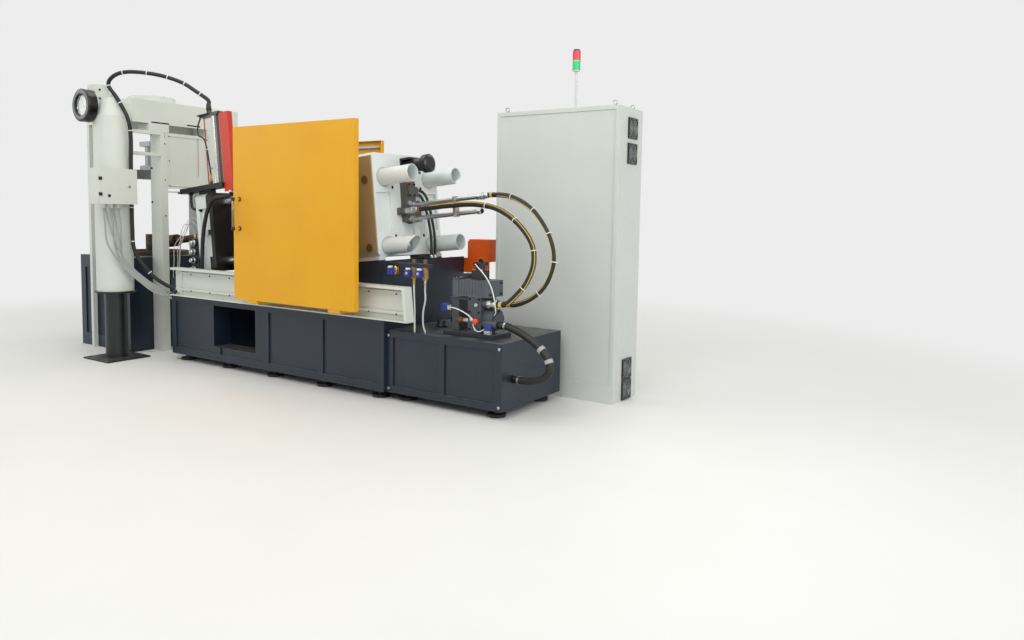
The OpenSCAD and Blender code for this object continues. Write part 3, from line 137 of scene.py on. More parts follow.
class StageSettings(bpy.types.PropertyGroup):
    floor: colour("Floor", "Colour of the plain floor and backdrop", "#E6E6E3")
    backdrop: colour("Backdrop", "Colour that the floor fades into", "#ECEDEC")
    key: FloatProperty(name="Key light", description="Power of the large soft light", default=190,
                       min=0, max=5000, unit="POWER")
    fill: FloatProperty(name="Fill", description="Strength of the even light from all round", default=0.5,
                        min=0, max=2, subtype="FACTOR")
    lens: FloatProperty(name="Lens", description="Focal length on a 36 mm sensor", default=26.72,
                        min=10, max=200, unit="CAMERA")
    azimuth: FloatProperty(name="Azimuth", description="Direction of view, turned left from +Y",
                           default=math.radians(33), subtype="ANGLE")
    pitch: FloatProperty(name="Pitch", description="Downward tilt of the camera",
                         default=math.radians(4.3), subtype="ANGLE")
    roll: FloatProperty(name="Roll", description="Roll of the camera", default=math.radians(-0.9),
                        subtype="ANGLE")
    place: FloatVectorProperty(name="Place", description="Where the camera stands", size=3,
                               default=(5.044, -4.426, 1.37), subtype="TRANSLATION")


# Materials


def linear(value):
    """An sRGB hex value as linear red, green, blue and alpha."""
    parts = [int(value[i:i + 2], 16) / 255 for i in (1, 3, 5)]
    return [c / 12.92 if c <= 0.04045 else ((c + 0.055) / 1.055) ** 2.4 for c in parts] + [1.0]


def add_node(tree, kind, inputs=None, **settings):
    """Adds one node with its settings: an input that is a socket is linked, any other is set."""
    made = tree.nodes.new(kind)
    for name, value in settings.items():
        setattr(made, name, value)
    for socket, value in (inputs or {}).items():
        if isinstance(value, bpy.types.NodeSocket):
            tree.links.new(value, made.inputs[socket])
        else:
            made.inputs[socket].default_value = value
    return made


def per(mm):
    """A noise scale whose features are that many millimetres across."""
    return 1000 / mm


def start_material(name):
    """A cleared node material with its shader and object coordinates."""
    made = bpy.data.materials.new(name)
    made.use_nodes = True
    tree = made.node_tree
    tree.nodes.clear()
    place = add_node(tree, "ShaderNodeTexCoord").outputs["Object"]
    shader = add_node(tree, "ShaderNodeBsdfPrincipled")
    add_node(tree, "ShaderNodeOutputMaterial", {"Surface": shader.outputs["BSDF"]})
    return made, tree, place, shader


def drifting_tone(tree, place, base, amount):
    """A slow drift of the tone, half a metre across, as hand spraying leaves."""
    drift = add_node(tree, "ShaderNodeTexNoise", {"Vector": place, "Scale": per(480), "Detail": 4.0})
    share = add_node(tree, "ShaderNodeMapRange", {"Value": drift.outputs["Fac"], "From Min": 0.3,
                                                  "From Max": 0.7, "To Max": amount})
    mixed = add_node(tree, "ShaderNodeMix", {0: share.outputs[0], 6: base, 7: linear("#FFFFFF")},
                     data_type="RGBA", blend_type="SOFT_LIGHT")
    return mixed.outputs[2]


def settled_dust(tree, place, base, amount, dust):
    """Dust in patches about 60 mm across on what looks up."""
    facing = add_node(tree, "ShaderNodeNewGeometry").outputs["Normal"]
    up = add_node(tree, "ShaderNodeSeparateXYZ", {0: facing}).outputs["Z"]
    up = add_node(tree, "ShaderNodeMapRange", {"Value": up, "From Min": 0.35, "From Max": 0.95,
                                               "To Max": amount})
    patch = add_node(tree, "ShaderNodeTexNoise", {"Vector": place, "Scale": per(60), "Detail": 5.0})
    patch = add_node(tree, "ShaderNodeMapRange", {"Value": patch.outputs["Fac"], "From Min": 0.3,
                                                  "From Max": 0.75})
    lies = add_node(tree, "ShaderNodeMath", {0: up.outputs[0], 1: patch.outputs[0]}, operation="MULTIPLY")
    mixed = add_node(tree, "ShaderNodeMix", {0: lies.outputs[0], 6: base, 7: linear(dust)}, data_type="RGBA")
    return mixed.outputs[2]


def grime_runs(tree, place, base, amount, soil):
    """Grime drawn out downwards in runs about 40 mm wide, thicker near the floor."""
    drawn = add_node(tree, "ShaderNodeMapping", {"Vector": place, "Scale": (1.0, 1.0, 0.11)})
    runs = add_node(tree, "ShaderNodeTexNoise", {"Vector": drawn.outputs[0], "Scale": per(40), "Detail": 4.0,
                                                 "Distortion": 0.4})
    runs = add_node(tree, "ShaderNodeMapRange", {"Value": runs.outputs["Fac"], "From Min": 0.6,
                                                 "From Max": 0.86})
    height = add_node(tree, "ShaderNodeSeparateXYZ", {0: place}).outputs["Z"]
    low = add_node(tree, "ShaderNodeMapRange", {"Value": height, "From Min": 1.2, "From Max": 0.0,
                                                "To Min": 0.3 * amount, "To Max": amount})
    share = add_node(tree, "ShaderNodeMath", {0: runs.outputs[0], 1: low.outputs[0]}, operation="MULTIPLY")
    mixed = add_node(tree, "ShaderNodeMix", {0: share.outputs[0], 6: base, 7: linear(soil)}, data_type="RGBA",
                     blend_type="MULTIPLY")
    return mixed.outputs[2]


def worn_edges(tree, place, base, radius_mm, amount, under):
    """Edges rubbed through here and there. Gives the new colour and normals that round the edge."""
    bevel = add_node(tree, "ShaderNodeBevel", {"Radius": radius_mm * MM}, samples=4).outputs[0]
    facing = add_node(tree, "ShaderNodeNewGeometry").outputs["Normal"]
    turn = add_node(tree, "ShaderNodeVectorMath", {0: bevel, 1: facing}, operation="DOT_PRODUCT")
    edge = add_node(tree, "ShaderNodeMapRange", {"Value": turn.outputs["Value"], "From Min": 0.98,
                                                 "From Max": 0.85, "To Max": amount})
    spots = add_node(tree, "ShaderNodeTexNoise", {"Vector": place, "Scale": per(24), "Detail": 5.0})
    spots = add_node(tree, "ShaderNodeMapRange", {"Value": spots.outputs["Fac"], "From Min": 0.5,
                                                  "From Max": 0.68})
    share = add_node(tree, "ShaderNodeMath", {0: edge.outputs[0], 1: spots.outputs[0]}, operation="MULTIPLY")
    mixed = add_node(tree, "ShaderNodeMix", {0: share.outputs[0], 6: base, 7: linear(under)},
                     data_type="RGBA")
    return mixed.outputs[2], bevel


def laid_zones(tree, place, base, zones):
    """Lays the zones' colours over the base. A zone has a matrix, spans along its axes in
    millimetres and a colour. Gives the new colour and where the zones are."""
    covered = None
    for matrix, spans, hue in zones:
        inside = None
        offset = add_node(tree, "ShaderNodeVectorMath", {0: place, 1: matrix.translation},
                          operation="SUBTRACT")
        for axis, low, high in spans:
            way = (matrix.to_3x3() @ axis).normalized() / MM
            along = add_node(tree, "ShaderNodeVectorMath", {0: offset.outputs[0], 1: way},
                             operation="DOT_PRODUCT")
            band = add_node(tree, "ShaderNodeMath", {0: along.outputs["Value"], 1: (low + high) / 2,
                                                     2: (high - low) / 2}, operation="COMPARE").outputs[0]
            if inside:
                band = add_node(tree, "ShaderNodeMath", {0: inside, 1: band}, operation="MULTIPLY").outputs[0]
            inside = band
        base = add_node(tree, "ShaderNodeMix", {0: inside, 6: base, 7: linear(hue)},
                        data_type="RGBA").outputs[2]
        if covered:
            inside = add_node(tree, "ShaderNodeMath", {0: covered, 1: inside}, operation="MAXIMUM").outputs[0]
        covered = inside
    return base, covered


def surface(tree, shader, base, roughness, spread, height, strength, distance, normal=None):
    """Sets the shader's colour, a roughness that varies with the height, and its bumps."""
    tree.links.new(base, shader.inputs["Base Color"])
    rough = add_node(tree, "ShaderNodeMath", {0: height, 1: spread, 2: roughness}, operation="MULTIPLY_ADD")
    tree.links.new(rough.outputs[0], shader.inputs["Roughness"])
    bumps = add_node(tree, "ShaderNodeBump", {"Strength": strength, "Distance": distance * MM,
                                              "Height": height})
    if normal:
        tree.links.new(normal, bumps.inputs["Normal"])
    tree.links.new(bumps.outputs[0], shader.inputs["Normal"])


def painted_steel(name, paint, roughness, peel_mm, peel, dust, grime, chips, under, soil, zones=()):
    """Sprayed or brushed paint on steel or iron: a slight orange peel, thin dust on what looks up,
    grime that runs down and gathers near the floor, and edges rubbed through to primer."""
    made, tree, place, shader = start_material(name)
    base = linear(paint)
    if zones:
        base = laid_zones(tree, place, base, zones)[0]
    base = drifting_tone(tree, place, base, 0.16)
    base = grime_runs(tree, place, base, grime, soil)
    base = settled_dust(tree, place, base, dust, "#9C968A")
    base, normal = worn_edges(tree, place, base, 2.5, chips, under)
    # orange peel is about 1 mm across in fact, and is drawn coarser so that it shows at all
    grain = add_node(tree, "ShaderNodeTexNoise", {"Vector": place, "Scale": per(peel_mm), "Detail": 2.0})
    surface(tree, shader, base, roughness - 0.06, 0.12, grain.outputs["Fac"], peel, 2, normal)
    return made


def worked_metal(name, metal, roughness, lines_mm, scratch, film, oiled, across=(1.0, 1.0, 1.0), zones=()):
    """Bare metal, turned, ground or milled: fine lines from the tool drawn out across, an uneven
    oil film, and edges brighter where they were handled."""
    made, tree, place, shader = start_material(name)
    base = linear(metal)
    shader.inputs["Metallic"].default_value = 1.0
    if zones:
        base, covered = laid_zones(tree, place, base, zones)
        bare = add_node(tree, "ShaderNodeMath", {0: 1.0, 1: covered}, operation="SUBTRACT")
        tree.links.new(bare.outputs[0], shader.inputs["Metallic"])
    stains = add_node(tree, "ShaderNodeTexNoise", {"Vector": place, "Scale": per(70), "Detail": 5.0,
                                                   "Distortion": 0.6})
    stains = add_node(tree, "ShaderNodeMapRange", {"Value": stains.outputs["Fac"], "From Min": 0.48,
                                                   "From Max": 0.75, "To Max": oiled})
    base = add_node(tree, "ShaderNodeMix", {0: stains.outputs[0], 6: base, 7: linear(film)},
                    data_type="RGBA").outputs[2]
    base, normal = worn_edges(tree, place, base, 1.5, 0.6, "#D9DADB")
    drawn = add_node(tree, "ShaderNodeMapping", {"Vector": place, "Scale": across})
    cut = add_node(tree, "ShaderNodeTexNoise", {"Vector": drawn.outputs[0], "Scale": per(lines_mm),
                                                "Detail": 3.0})
    surface(tree, shader, base, roughness - 0.1, 0.22, cut.outputs["Fac"], scratch, 0.8, normal)
    return made


def moulded(name, base_colour, roughness, grain_mm=3.0, grain=0.08, dust=0.25, zones=()):
    """Moulded plastic or rubber: a fine even grain from the tool, dust on what looks up."""
    made, tree, place, shader = start_material(name)
    base = linear(base_colour)
    if zones:
        base = laid_zones(tree, place, base, zones)[0]
    base = drifting_tone(tree, place, base, 0.12)
    base = settled_dust(tree, place, base, dust, "#8C877C")
    spark = add_node(tree, "ShaderNodeTexNoise", {"Vector": place, "Scale": per(grain_mm), "Detail": 2.0})
    surface(tree, shader, base, roughness, 0.1, spark.outputs["Fac"], grain, 0.8)
    return made


def clear_plastic(name, base_colour, roughness, see_through):
    """Clear or tinted plastic and glass: light goes through and the surface stays glossy."""
    made, tree, place, shader = start_material(name)
    base = drifting_tone(tree, place, linear(base_colour), 0.1)
    haze = add_node(tree, "ShaderNodeTexNoise", {"Vector": place, "Scale": per(25), "Detail": 3.0})
    surface(tree, shader, base, roughness, 0.06, haze.outputs["Fac"], 0.01, 0.2)
    shader.inputs["Transmission Weight"].default_value = see_through
    shader.inputs["IOR"].default_value = 1.49
    return made


def hose_cover(name, rubber, bloom, wrap_mm, rise):
    """Nitrile hose with a wrapped finish: the cloth's print stays in the rubber as fine rings, and
    the matt black surface carries a grey bloom and dust."""
    made, tree, place, shader = start_material(name)
    run = add_node(tree, "ShaderNodeUVMap", uv_map="run")
    # the wrap's print is 1.5 mm apart in fact, and is drawn at 4 to 6 mm so that it shows; a
    # band texture has one ring in each pi / 10 of its scaled length
    scale = per(wrap_mm) * math.pi / 10
    rings = add_node(tree, "ShaderNodeTexWave", {"Vector": run.outputs[0], "Scale": scale, "Distortion": 0.6,
                                                 "Detail": 2.0}, bands_direction="Y")
    patch = add_node(tree, "ShaderNodeTexNoise", {"Vector": place, "Scale": per(50), "Detail": 5.0})
    patch = add_node(tree, "ShaderNodeMapRange", {"Value": patch.outputs["Fac"], "From Min": 0.35,
                                                  "From Max": 0.8, "To Max": 0.4})
    base = add_node(tree, "ShaderNodeMix", {0: patch.outputs[0], 6: linear(rubber), 7: linear(bloom)},
                    data_type="RGBA").outputs[2]
    base = settled_dust(tree, place, base, 0.1, "#7E786C")
    surface(tree, shader, base, 0.42, 0.12, rings.outputs["Fac"], rise, 1.2)
    return made


def make_finishes(paint):
    """Every finish of the machine by name."""
    steel, block, dark = "#B9BCBE", "#55524C", "#1B1C1E"
    # zones, for the nodes that have more than one finish
    # the platens' die faces: soot of burnt release agent with painted shade, laid as one dark colour
    soot_and_shade_zones = [(CLAMP, ((X, -82, 30),), "#232220"), (CLAMP, ((X, 515, 556),), "#3A3733")]
    guard_drive = [(MACHINE, ((X, -210, 386), (Z, 1938, 1974), (Y, 622, 659)), "#6E3D2A"),
                   (MACHINE, ((X, 386, 985), (Z, 1938, 1974), (Y, 622, 659)), steel)]
    cover_holes = [(CLAMP, ((X, 1824, 1886), (Y, -396, -387.5), (Z, -297, -235)), "#5C4A30"),
                   (CLAMP, ((X, 1824, 1886), (Y, -396, -387.5), (Z, 209, 271)), "#5C4A30")]
    pump_parts = [(MACHINE, ((X, 2600, 2950), (Z, 794, 906)), "#50545C"),
                  (MACHINE, ((X, 2716, 2850), (Z, 911, 1060)), dark),
                  (MACHINE, ((Z, 500, 546),), paint.bed)]
    valve_parts = [(MACHINE, ((X, 2300, 2480), (Z, 900, 984.5)), "#8C6E3C"),
                   (MACHINE, ((X, 2300, 2480), (Y, -512, -474), (Z, 900, 984.5)), paint.valves),
                   (MACHINE, ((X, 2300, 2480), (Z, 1010.5, 1045)), "#6A4A2C")]
    stand_arms = [(MACHINE, ((Z, 1500, 2300),), paint.sheet)]
    spray_parts = [(CLAMP, ((X, -62, -38), (Z, 417, 1006)), "#A83A26"),
                   (CLAMP, ((X, 153, 177), (Z, 417, 1006)), "#E2E1DB"),
                   (CLAMP, ((X, 114, 148), (Z, 417, 1006)), "#6E6258"),
                   (CLAMP, ((X, -130, 200), (Z, 1006.5, 1100)), dark)]
    cylinder_parts = [(CLAMP, ((X, 1920, 1999.5), (Z, -83, 232)), block), (CLAMP, ((X, 1600, 1930),), block)]
    tower_lenses = [(MACHINE, ((Z, 2458, 2524),), "#28C978"), (MACHINE, ((Z, 2532, 2598),), "#D8404E"),
                    (MACHINE, ((Z, 2598.5, 2620),), "#3A3C3E")]
    return {
        # brushed alkyd machine enamel: deep navy, a soft gloss, dust on top and oil runs down
        "navy_enamel": painted_steel(
            "navy_alkyd_enamel", paint.bed, 0.36, peel_mm=9, peel=0.07, dust=0.45, grime=0.5, chips=0.55,
            under="#59606A", soil="#2A2620"),
        # powder-coated folded sheet: even cream with a low gloss and slight grey runs
        "cream_coat": painted_steel(
            "cream_powder_coat", paint.sheet, 0.44, peel_mm=6, peel=0.05, dust=0.25, grime=0.16, chips=0.3,
            under="#8C8A82", soil="#8A8068"),
        # two-pack enamel over fettled cast steel: off-white, slightly lumpy, oily finger marks
        "casting_enamel": painted_steel(
            "casting_enamel", paint.casting, 0.42, peel_mm=16, peel=0.12, dust=0.3, grime=0.3, chips=0.45,
            under="#77746B", soil="#857A62"),
        # the same enamel on the platens round the dies, blackened there by burnt release agent and by painted
        # shade
        "sooted_and_shaded_enamel": painted_steel(
            "sooted_and_shaded_casting_enamel", paint.casting, 0.42, peel_mm=16, peel=0.12, dust=0.3, grime=0.5,
            chips=0.45, under="#77746B", soil="#857A62", zones=soot_and_shade_zones),
        # powder-coated door sheet: warm yellow, satin, rubbed at its folds
        "yellow_coat": painted_steel(
            "yellow_powder_coat", paint.door, 0.46, peel_mm=6, peel=0.04, dust=0.1, grime=0.14, chips=0.5,
            under="#8A6A2A", soil="#A5701C"),
        # the same coat on the rear guard, with its ground rod and cylinder of pale steel
        "guard_coat": painted_steel(
            "guard_powder_coat", paint.door, 0.46, peel_mm=6, peel=0.04, dust=0.1, grime=0.14, chips=0.5,
            under="#8A6A2A", soil="#A5701C", zones=guard_drive),
        # fine-textured grey powder coat: reflects the room as a soft sheen
        "cabinet_coat": painted_steel(
            "cabinet_powder_coat", paint.cabinet, 0.26, peel_mm=5, peel=0.035, dust=0.2, grime=0.08,
            chips=0.2, under="#8F928E", soil="#8E8874"),
        # red enamel on bent plate: bright, chipped at the corners
        "red_enamel": painted_steel(
            "red_enamel", paint.channel, 0.36, peel_mm=8, peel=0.05, dust=0.2, grime=0.3, chips=0.6,
            under="#5C4038", soil="#5A2A1C"),
        # orange enamel on a folded box, soiled at its foot
        "orange_enamel": painted_steel(
            "orange_enamel", paint.terminal, 0.4, peel_mm=6, peel=0.05, dust=0.2, grime=0.25, chips=0.4,
            under="#6B4A3A", soil="#7A3A18"),
        # sawn plate whose tan is painted shade and a painted reflection of the yellow door: flat and dirty,
        # with darker screw holes
        "tan_shade_and_door_reflection": painted_steel(
            "tan_shade_and_door_reflection", paint.side_cover, 0.58, peel_mm=10, peel=0.08, dust=0.4, grime=0.7, chips=0.5,
            under="#4E453A", soil="#6E5A3C", zones=cover_holes),
        # hammered grey-blue lacquer on cast iron; the relief valve is black and the foot plate navy
        "pump_lacquer": painted_steel(
            "pump_lacquer", "#3E4249", 0.4, peel_mm=12, peel=0.2, dust=0.35, grime=0.4, chips=0.5,
            under="#7C8086", soil="#241F1A", zones=pump_parts),
        # black lacquer on a cast valve block
        "stack_lacquer": painted_steel(
            "valve_stack_lacquer", "#26292D", 0.36, peel_mm=10, peel=0.12, dust=0.3, grime=0.35, chips=0.5,
            under="#6C6F72", soil="#1E1A16"),
        # blue lacquer on coils over brass valve bodies, on a navy bar
        "valve_lacquer": painted_steel(
            "valve_lacquer", paint.bed, 0.35, peel_mm=6, peel=0.06, dust=0.25, grime=0.25, chips=0.4,
            under="#8A8470", soil="#20203A", zones=valve_parts),
        # black stove enamel: dense, slightly wavy, grey where rubbed
        "black_enamel": painted_steel(
            "black_stove_enamel", "#121315", 0.34, peel_mm=8, peel=0.06, dust=0.14, grime=0.2, chips=0.4,
            under="#5A5A58", soil="#15120F"),
        # black enamel on the accumulator's foot, duller with dust, with its arms in the hood's cream
        "stand_enamel": painted_steel(
            "stand_enamel", "#17191C", 0.38, peel_mm=8, peel=0.06, dust=0.3, grime=0.25, chips=0.5,
            under="#5A5A58", soil="#15120F", zones=stand_arms),
        # thick black ABS of the gauge's case: deep and glossy
        "gauge_black": moulded("glossy_black_abs", "#08090A", 0.16, grain_mm=4, grain=0.03, dust=0.05),
        # cylindrically ground steel: lines round the bar and a film of oil
        "ground_steel": worked_metal(
            "ground_steel", steel, 0.27, lines_mm=4, scratch=0.1, film="#3A2F22", oiled=0.3,
            across=(1.0, 0.1, 0.1)),
        # hard chrome on a ground rod: a clean mirror with faint wear
        "chrome": worked_metal(
            "hard_chrome", "#D8D9DA", 0.16, lines_mm=8, scratch=0.04, film="#54504A", oiled=0.12),
        # handled chrome, its warm tint a painted reflection of the yellow door: brown in its scratches
        "worn_chrome_and_door_reflection": worked_metal(
            "handled_chrome_and_door_reflection", "#97876C", 0.3, lines_mm=8, scratch=0.06, film="#4A3A24", oiled=0.5),
        # the spray unit's rods: chromed shaft, red and white tubes, a rack of oiled steel, dark ends
        "spray_chrome": worked_metal(
            "spray_rod_chrome", "#D3D4D5", 0.2, lines_mm=8, scratch=0.05, film="#54504A", oiled=0.15,
            zones=spray_parts),
        # milled steel block: cutter rows in one direction
        "milled_steel": worked_metal(
            "milled_steel", "#8E9193", 0.38, lines_mm=5, scratch=0.25, film="#33291E", oiled=0.4,
            across=(0.12, 1.0, 1.0)),
        # the cylinder's bright pipes and tie rods, with its oiled dark head and valve block
        "cylinder_steel": worked_metal(
            "cylinder_steel", "#BDBFC0", 0.3, lines_mm=6, scratch=0.12, film="#4A4034", oiled=0.25,
            zones=cylinder_parts),
        # hot-work tool steel, tempered brown and blue, with white release agent
        "die_steel": worked_metal(
            "tempered_die_steel", "#5B5752", 0.42, lines_mm=6, scratch=0.2, film="#C9C4B6", oiled=0.35),
        # cast iron that lives hot: scale, rust brown and soot
        "hot_iron": worked_metal(
            "scaled_cast_iron", "#5E5347", 0.62, lines_mm=14, scratch=0.6, film="#2A1710", oiled=0.75),
        # bright zinc plate with a cloudy passivated bloom
        "zinc_plate": worked_metal(
            "zinc_plated_steel", "#B7BABB", 0.34, lines_mm=10, scratch=0.08, film="#6A6353", oiled=0.2),
        # blackened fasteners: near black with a dull oily shine
        "black_oxide": worked_metal(
            "black_oxide_steel", "#2A2A2B", 0.4, lines_mm=8, scratch=0.06, film="#15130F", oiled=0.3),
        # turned brass, brown where it has been handled
        "brass": worked_metal(
            "turned_brass", "#B8944A", 0.3, lines_mm=8, scratch=0.08, film="#5A4522", oiled=0.3),
        # spark-eroded ABS moulding: an even fine grain
        "black_plastic": moulded("black_abs", "#17181A", 0.42),
        # moulded nylon of ties and fittings: milky white with a waxy shine
        "white_plastic": moulded("white_nylon", "#E4E3DC", 0.38, grain=0.05, dust=0.15),
        # extruded soft PVC of conduits: flat pale grey
        "grey_plastic": moulded("grey_pvc", "#A3A7A3", 0.45),
        # potted resin round the coils: strong blue, smooth
        "blue_plastic": moulded("blue_coil_resin", paint.valves, 0.36),
        # moulded ABS of the adjusting knob: bright orange
        "orange_plastic": moulded("orange_abs", "#E04A1A", 0.38),
        # extruded polyamide and polyethylene tubes: smooth, slightly see-through in tone
        "yellow_tube": moulded("yellow_polyamide_tube", "#C6B04A", 0.4, grain=0.06, dust=0.1),
        "grey_tube": moulded("pale_polyethylene_tube", "#B9BAAE", 0.4, grain=0.06, dust=0.1),
        "brown_tube": moulded("brown_polyamide_tube", "#8A5430", 0.4, grain=0.05, dust=0.1),
        # the shade inside a slot: nearly black and flat
        "dark_mouth": moulded("shaded_opening", "#101113", 0.8),
        # offset-printed card behind glass: even warm white
        "dial_card": moulded("dial_card", "#E9EAE6", 0.55, grain_mm=4, grain=0.01, dust=0.0),
        # flat float glass of the gauge: clear, with one sharp reflection
        "glass": clear_plastic("gauge_glass", "#F4F7F7", 0.02, 1.0),
        # the light tower's acrylic lenses on a grey pole: green below red
        "tower_plastic": moulded(
            "tower_acrylic", "#C9CCC8", 0.25, grain=0.03, dust=0.1, zones=tower_lenses),
        # wrapped nitrile hose: matt black with fine rings and a dull brown bloom
        "rubber": hose_cover("nitrile_hose", "#0F0F0E", "#24221D", wrap_mm=6, rise=0.35),
        # extruded neoprene cable sheath: smoother and cooler than the hoses
        "cable_rubber": hose_cover("neoprene_cable", "#0E0E11", "#1E1E24", wrap_mm=4, rise=0.15),
    }


# Shapes


class Piece:
    """Gathers shapes in one mesh, in the machine's millimetres, and gives each its finish."""

    def __init__(self, name):
        self.name = name
        self.mesh = bmesh.new()
        self.run = self.mesh.loops.layers.uv.new("run")
        self.names = []

    def take(self, faces, finish, smooth=False):
        """Gives faces their finish."""
        if finish not in self.names:
            self.names.append(finish)
        for face in faces:
            face.material_index = self.names.index(finish)
            face.smooth = smooth

    def block(self, low, high, finish, edge=2.0, matrix=None):
        """A block with rounded edges."""
        size = [b - a for a, b in zip(low, high)]
        middle = Vector([(a + b) / 2 for a, b in zip(low, high)])
        place = (matrix or Matrix()) @ Matrix.Translation(middle) @ Matrix.Diagonal((*size, 1))
        made = bmesh.ops.create_cube(self.mesh, size=1, matrix=place)
        faces = dict.fromkeys(f for v in made["verts"] for f in v.link_faces)
        if edge > 0:
            edges = list(dict.fromkeys(e for v in made["verts"] for e in v.link_edges))
            bent = bmesh.ops.bevel(self.mesh, geom=edges, offset=min(edge, min(size) * 0.4),
                                   segments=2, affect="EDGES", profile=0.5)
            faces = dict.fromkeys([f for v in bent["verts"] for f in v.link_faces]
                                  + [f for f in faces if f.is_valid])
        self.take(faces, finish)

    def lathe(self, profile, base, axis, finish, sides=32, smooth=True, ring=False):
        """A turned shape: profile is (radius, height) pairs along axis from base. A ring's profile
        closes on itself, and any other is closed by its end faces."""
        turn = Vector(axis).normalized().to_track_quat("Z", "Y").to_matrix().to_4x4()
        place = Matrix.Translation(Vector(base)) @ turn
        rows = []
        for r, h in profile:
            if r < 1e-6:
                rows.append([self.mesh.verts.new(place @ Vector((0, 0, h)))])
            else:
                rows.append([self.mesh.verts.new(place @ Vector((r * math.cos(a), r * math.sin(a), h)))
                             for a in (2 * math.pi * k / sides for k in range(sides))])
        faces = []
        for low, high in zip(rows, rows[1:] + (rows[:1] if ring else [])):
            for k in range(sides):
                j = (k + 1) % sides
                corners = [low[k % len(low)], low[j % len(low)], high[j % len(high)], high[k % len(high)]]
                corners = list(dict.fromkeys(corners))
                if len(corners) > 2:
                    faces.append(self.mesh.faces.new(corners))
        self.take(faces, finish, smooth)
        if not ring:
            self.take([self.mesh.faces.new(row) for row in (rows[0], rows[-1]) if len(row) > 2], finish)

    def rod(self, start, end, d, finish, sides=20, edge=1.0):
        """A round bar with small chamfers."""
        start, end = Vector(start), Vector(end)
        length, r = (end - start).length, d / 2
        c = min(edge, r * 0.4, length * 0.4)
        self.lathe([(r - c, 0), (r, c), (r, length - c), (r - c, length)], start, end - start, finish, sides)

    def hoop(self, centre, axis, radius, wire, finish, sides=40, section=6):
        """A closed ring of wire."""
        profile = [(radius + wire / 2 * math.cos(a), wire / 2 * math.sin(a))
                   for a in (2 * math.pi * k / section for k in range(section))]
        self.lathe(profile, centre, axis, finish, sides, ring=True)

    def hexagon(self, base, axis, across, height, finish):
        """A hexagon nut or head with a chamfered top."""
        r = across / math.sqrt(3)
        self.lathe([(r, 0), (r, height * 0.8), (r * 0.86, height)], base, axis, finish, 6, False)

    def screw(self, base, axis, d, finish="black_oxide", height=0.5):
        """A cap screw's head with its socket."""
        r, h = d / 2, d * height
        self.lathe([(r * 0.96, 0), (r, h * 0.1), (r, h * 0.85), (r * 0.88, h), (r * 0.52, h),
                    (r * 0.48, h * 0.4), (0, h * 0.4)], base, axis, finish, 14)

    def tube(self, path, d, finish, sides=16):
        """A round tube swept along points, with its length as a UV in metres."""
        path = [Vector(p) for p in path]
        normal, along, rows = None, 0.0, []
        for i, point in enumerate(path):
            ahead = (path[min(i + 1, len(path) - 1)] - path[max(i - 1, 0)]).normalized()
            normal = normal or ahead.orthogonal().normalized()
            normal = (normal - ahead * normal.dot(ahead)).normalized()
            side = ahead.cross(normal)
            along += (point - path[i - 1]).length if i else 0
            turns = [2 * math.pi * k / sides for k in range(sides)]
            ring = [self.mesh.verts.new(point + d / 2 * (math.cos(a) * normal + math.sin(a) * side))
                    for a in turns]
            rows.append((along, ring))
        faces = []
        for (s, low), (t, high) in zip(rows, rows[1:]):
            for k in range(sides):
                j = (k + 1) % sides
                face = self.mesh.faces.new((low[k], low[j], high[j], high[k]))
                for loop, uv in zip(face.loops, ((k, s), (k + 1, s), (k + 1, t), (k, t))):
                    loop[self.run].uv = (uv[0] / sides, uv[1] * MM)
                faces.append(face)
        self.take(faces, finish, True)
        self.take([self.mesh.faces.new(rows[0][1]), self.mesh.faces.new(rows[-1][1])], finish)

    def band(self, at, axis, d, width, finish, lift=1.2):
        """A thin band round a tube."""
        r = d / 2
        self.lathe([(r - 0.5, -width / 2), (r + lift, -width / 2), (r + lift, width / 2),
                    (r - 0.5, width / 2)], Vector(at), Vector(axis).normalized(), finish, 20, False, True)

    def tie(self, path, share, d, width):
        """A cable tie with its lock, at that share of a path."""
        finish = "white_plastic"
        i = min(max(int(share * (len(path) - 1)), 1), len(path) - 2)
        axis = (path[i + 1] - path[i - 1]).normalized()
        self.band(path[i], axis, d, width, finish)
        side = axis.orthogonal().normalized()
        turn = side.to_track_quat("Z", "X").to_matrix().to_4x4()
        self.block((-width * 0.5, -width * 0.4, 0), (width * 0.5, width * 0.4, width * 0.7), finish, 0.6,
                   Matrix.Translation(path[i] + side * d / 2) @ turn)

    def hose_end(self, end, inward, d):
        """A crimped ferrule and its hexagon nut on a hose's end."""
        axis = (inward - end).normalized()
        finish = "zinc_plate"
        self.lathe([(d * 0.36, 0), (d * 0.62, 2), (d * 0.62, 26), (d * 0.56, 30), (d * 0.6, 34),
                    (d * 0.6, 62), (d * 0.5, 66)], end, axis, finish, 24)
        self.hexagon(end + axis, axis, d * 1.42, 22, finish)

    def make(self):
        """Makes the object, in the row frame."""
        self.mesh.transform(MACHINE)
        bmesh.ops.recalc_face_normals(self.mesh, faces=self.mesh.faces)
        data = bpy.data.meshes.new(self.name)
        self.mesh.to_mesh(data)
        self.mesh.free()
        for name in self.names:
            data.materials.append(finishes()[name])
        made = bpy.data.objects.new(self.name, data)
        bpy.context.scene.collection.objects.link(made)
        return made

    def done(self, body="machine", replaces=None):
        """Makes the object on its body."""
        made = self.make()
        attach(made, body)
        if replaces:
            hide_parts(replaces)
        return made


def smooth_path(points, step):
    """Points along a smooth curve through the given ones, about step apart."""
    points = [Vector(p) for p in points]
    fine = []
    for i in range(len(points) - 1):
        a, b, c, d = points[max(i - 1, 0)], points[i], points[i + 1], points[min(i + 2, len(points) - 1)]
        count = max(2, int((c - b).length / step * 2))
        for k in range(count):
            t = k / count
            fine.append(0.5 * (2 * b + (c - a) * t + (2 * a - 5 * b + 4 * c - d) * t * t
                               + (3 * b - a - 3 * c + d) * t ** 3))
    kept = fine[:1]
    for point in fine[1:]:
        if (point - kept[-1]).length >= step and (point - points[-1]).length >= step * 0.5:
            kept.append(point)
    return kept + [points[-1]]


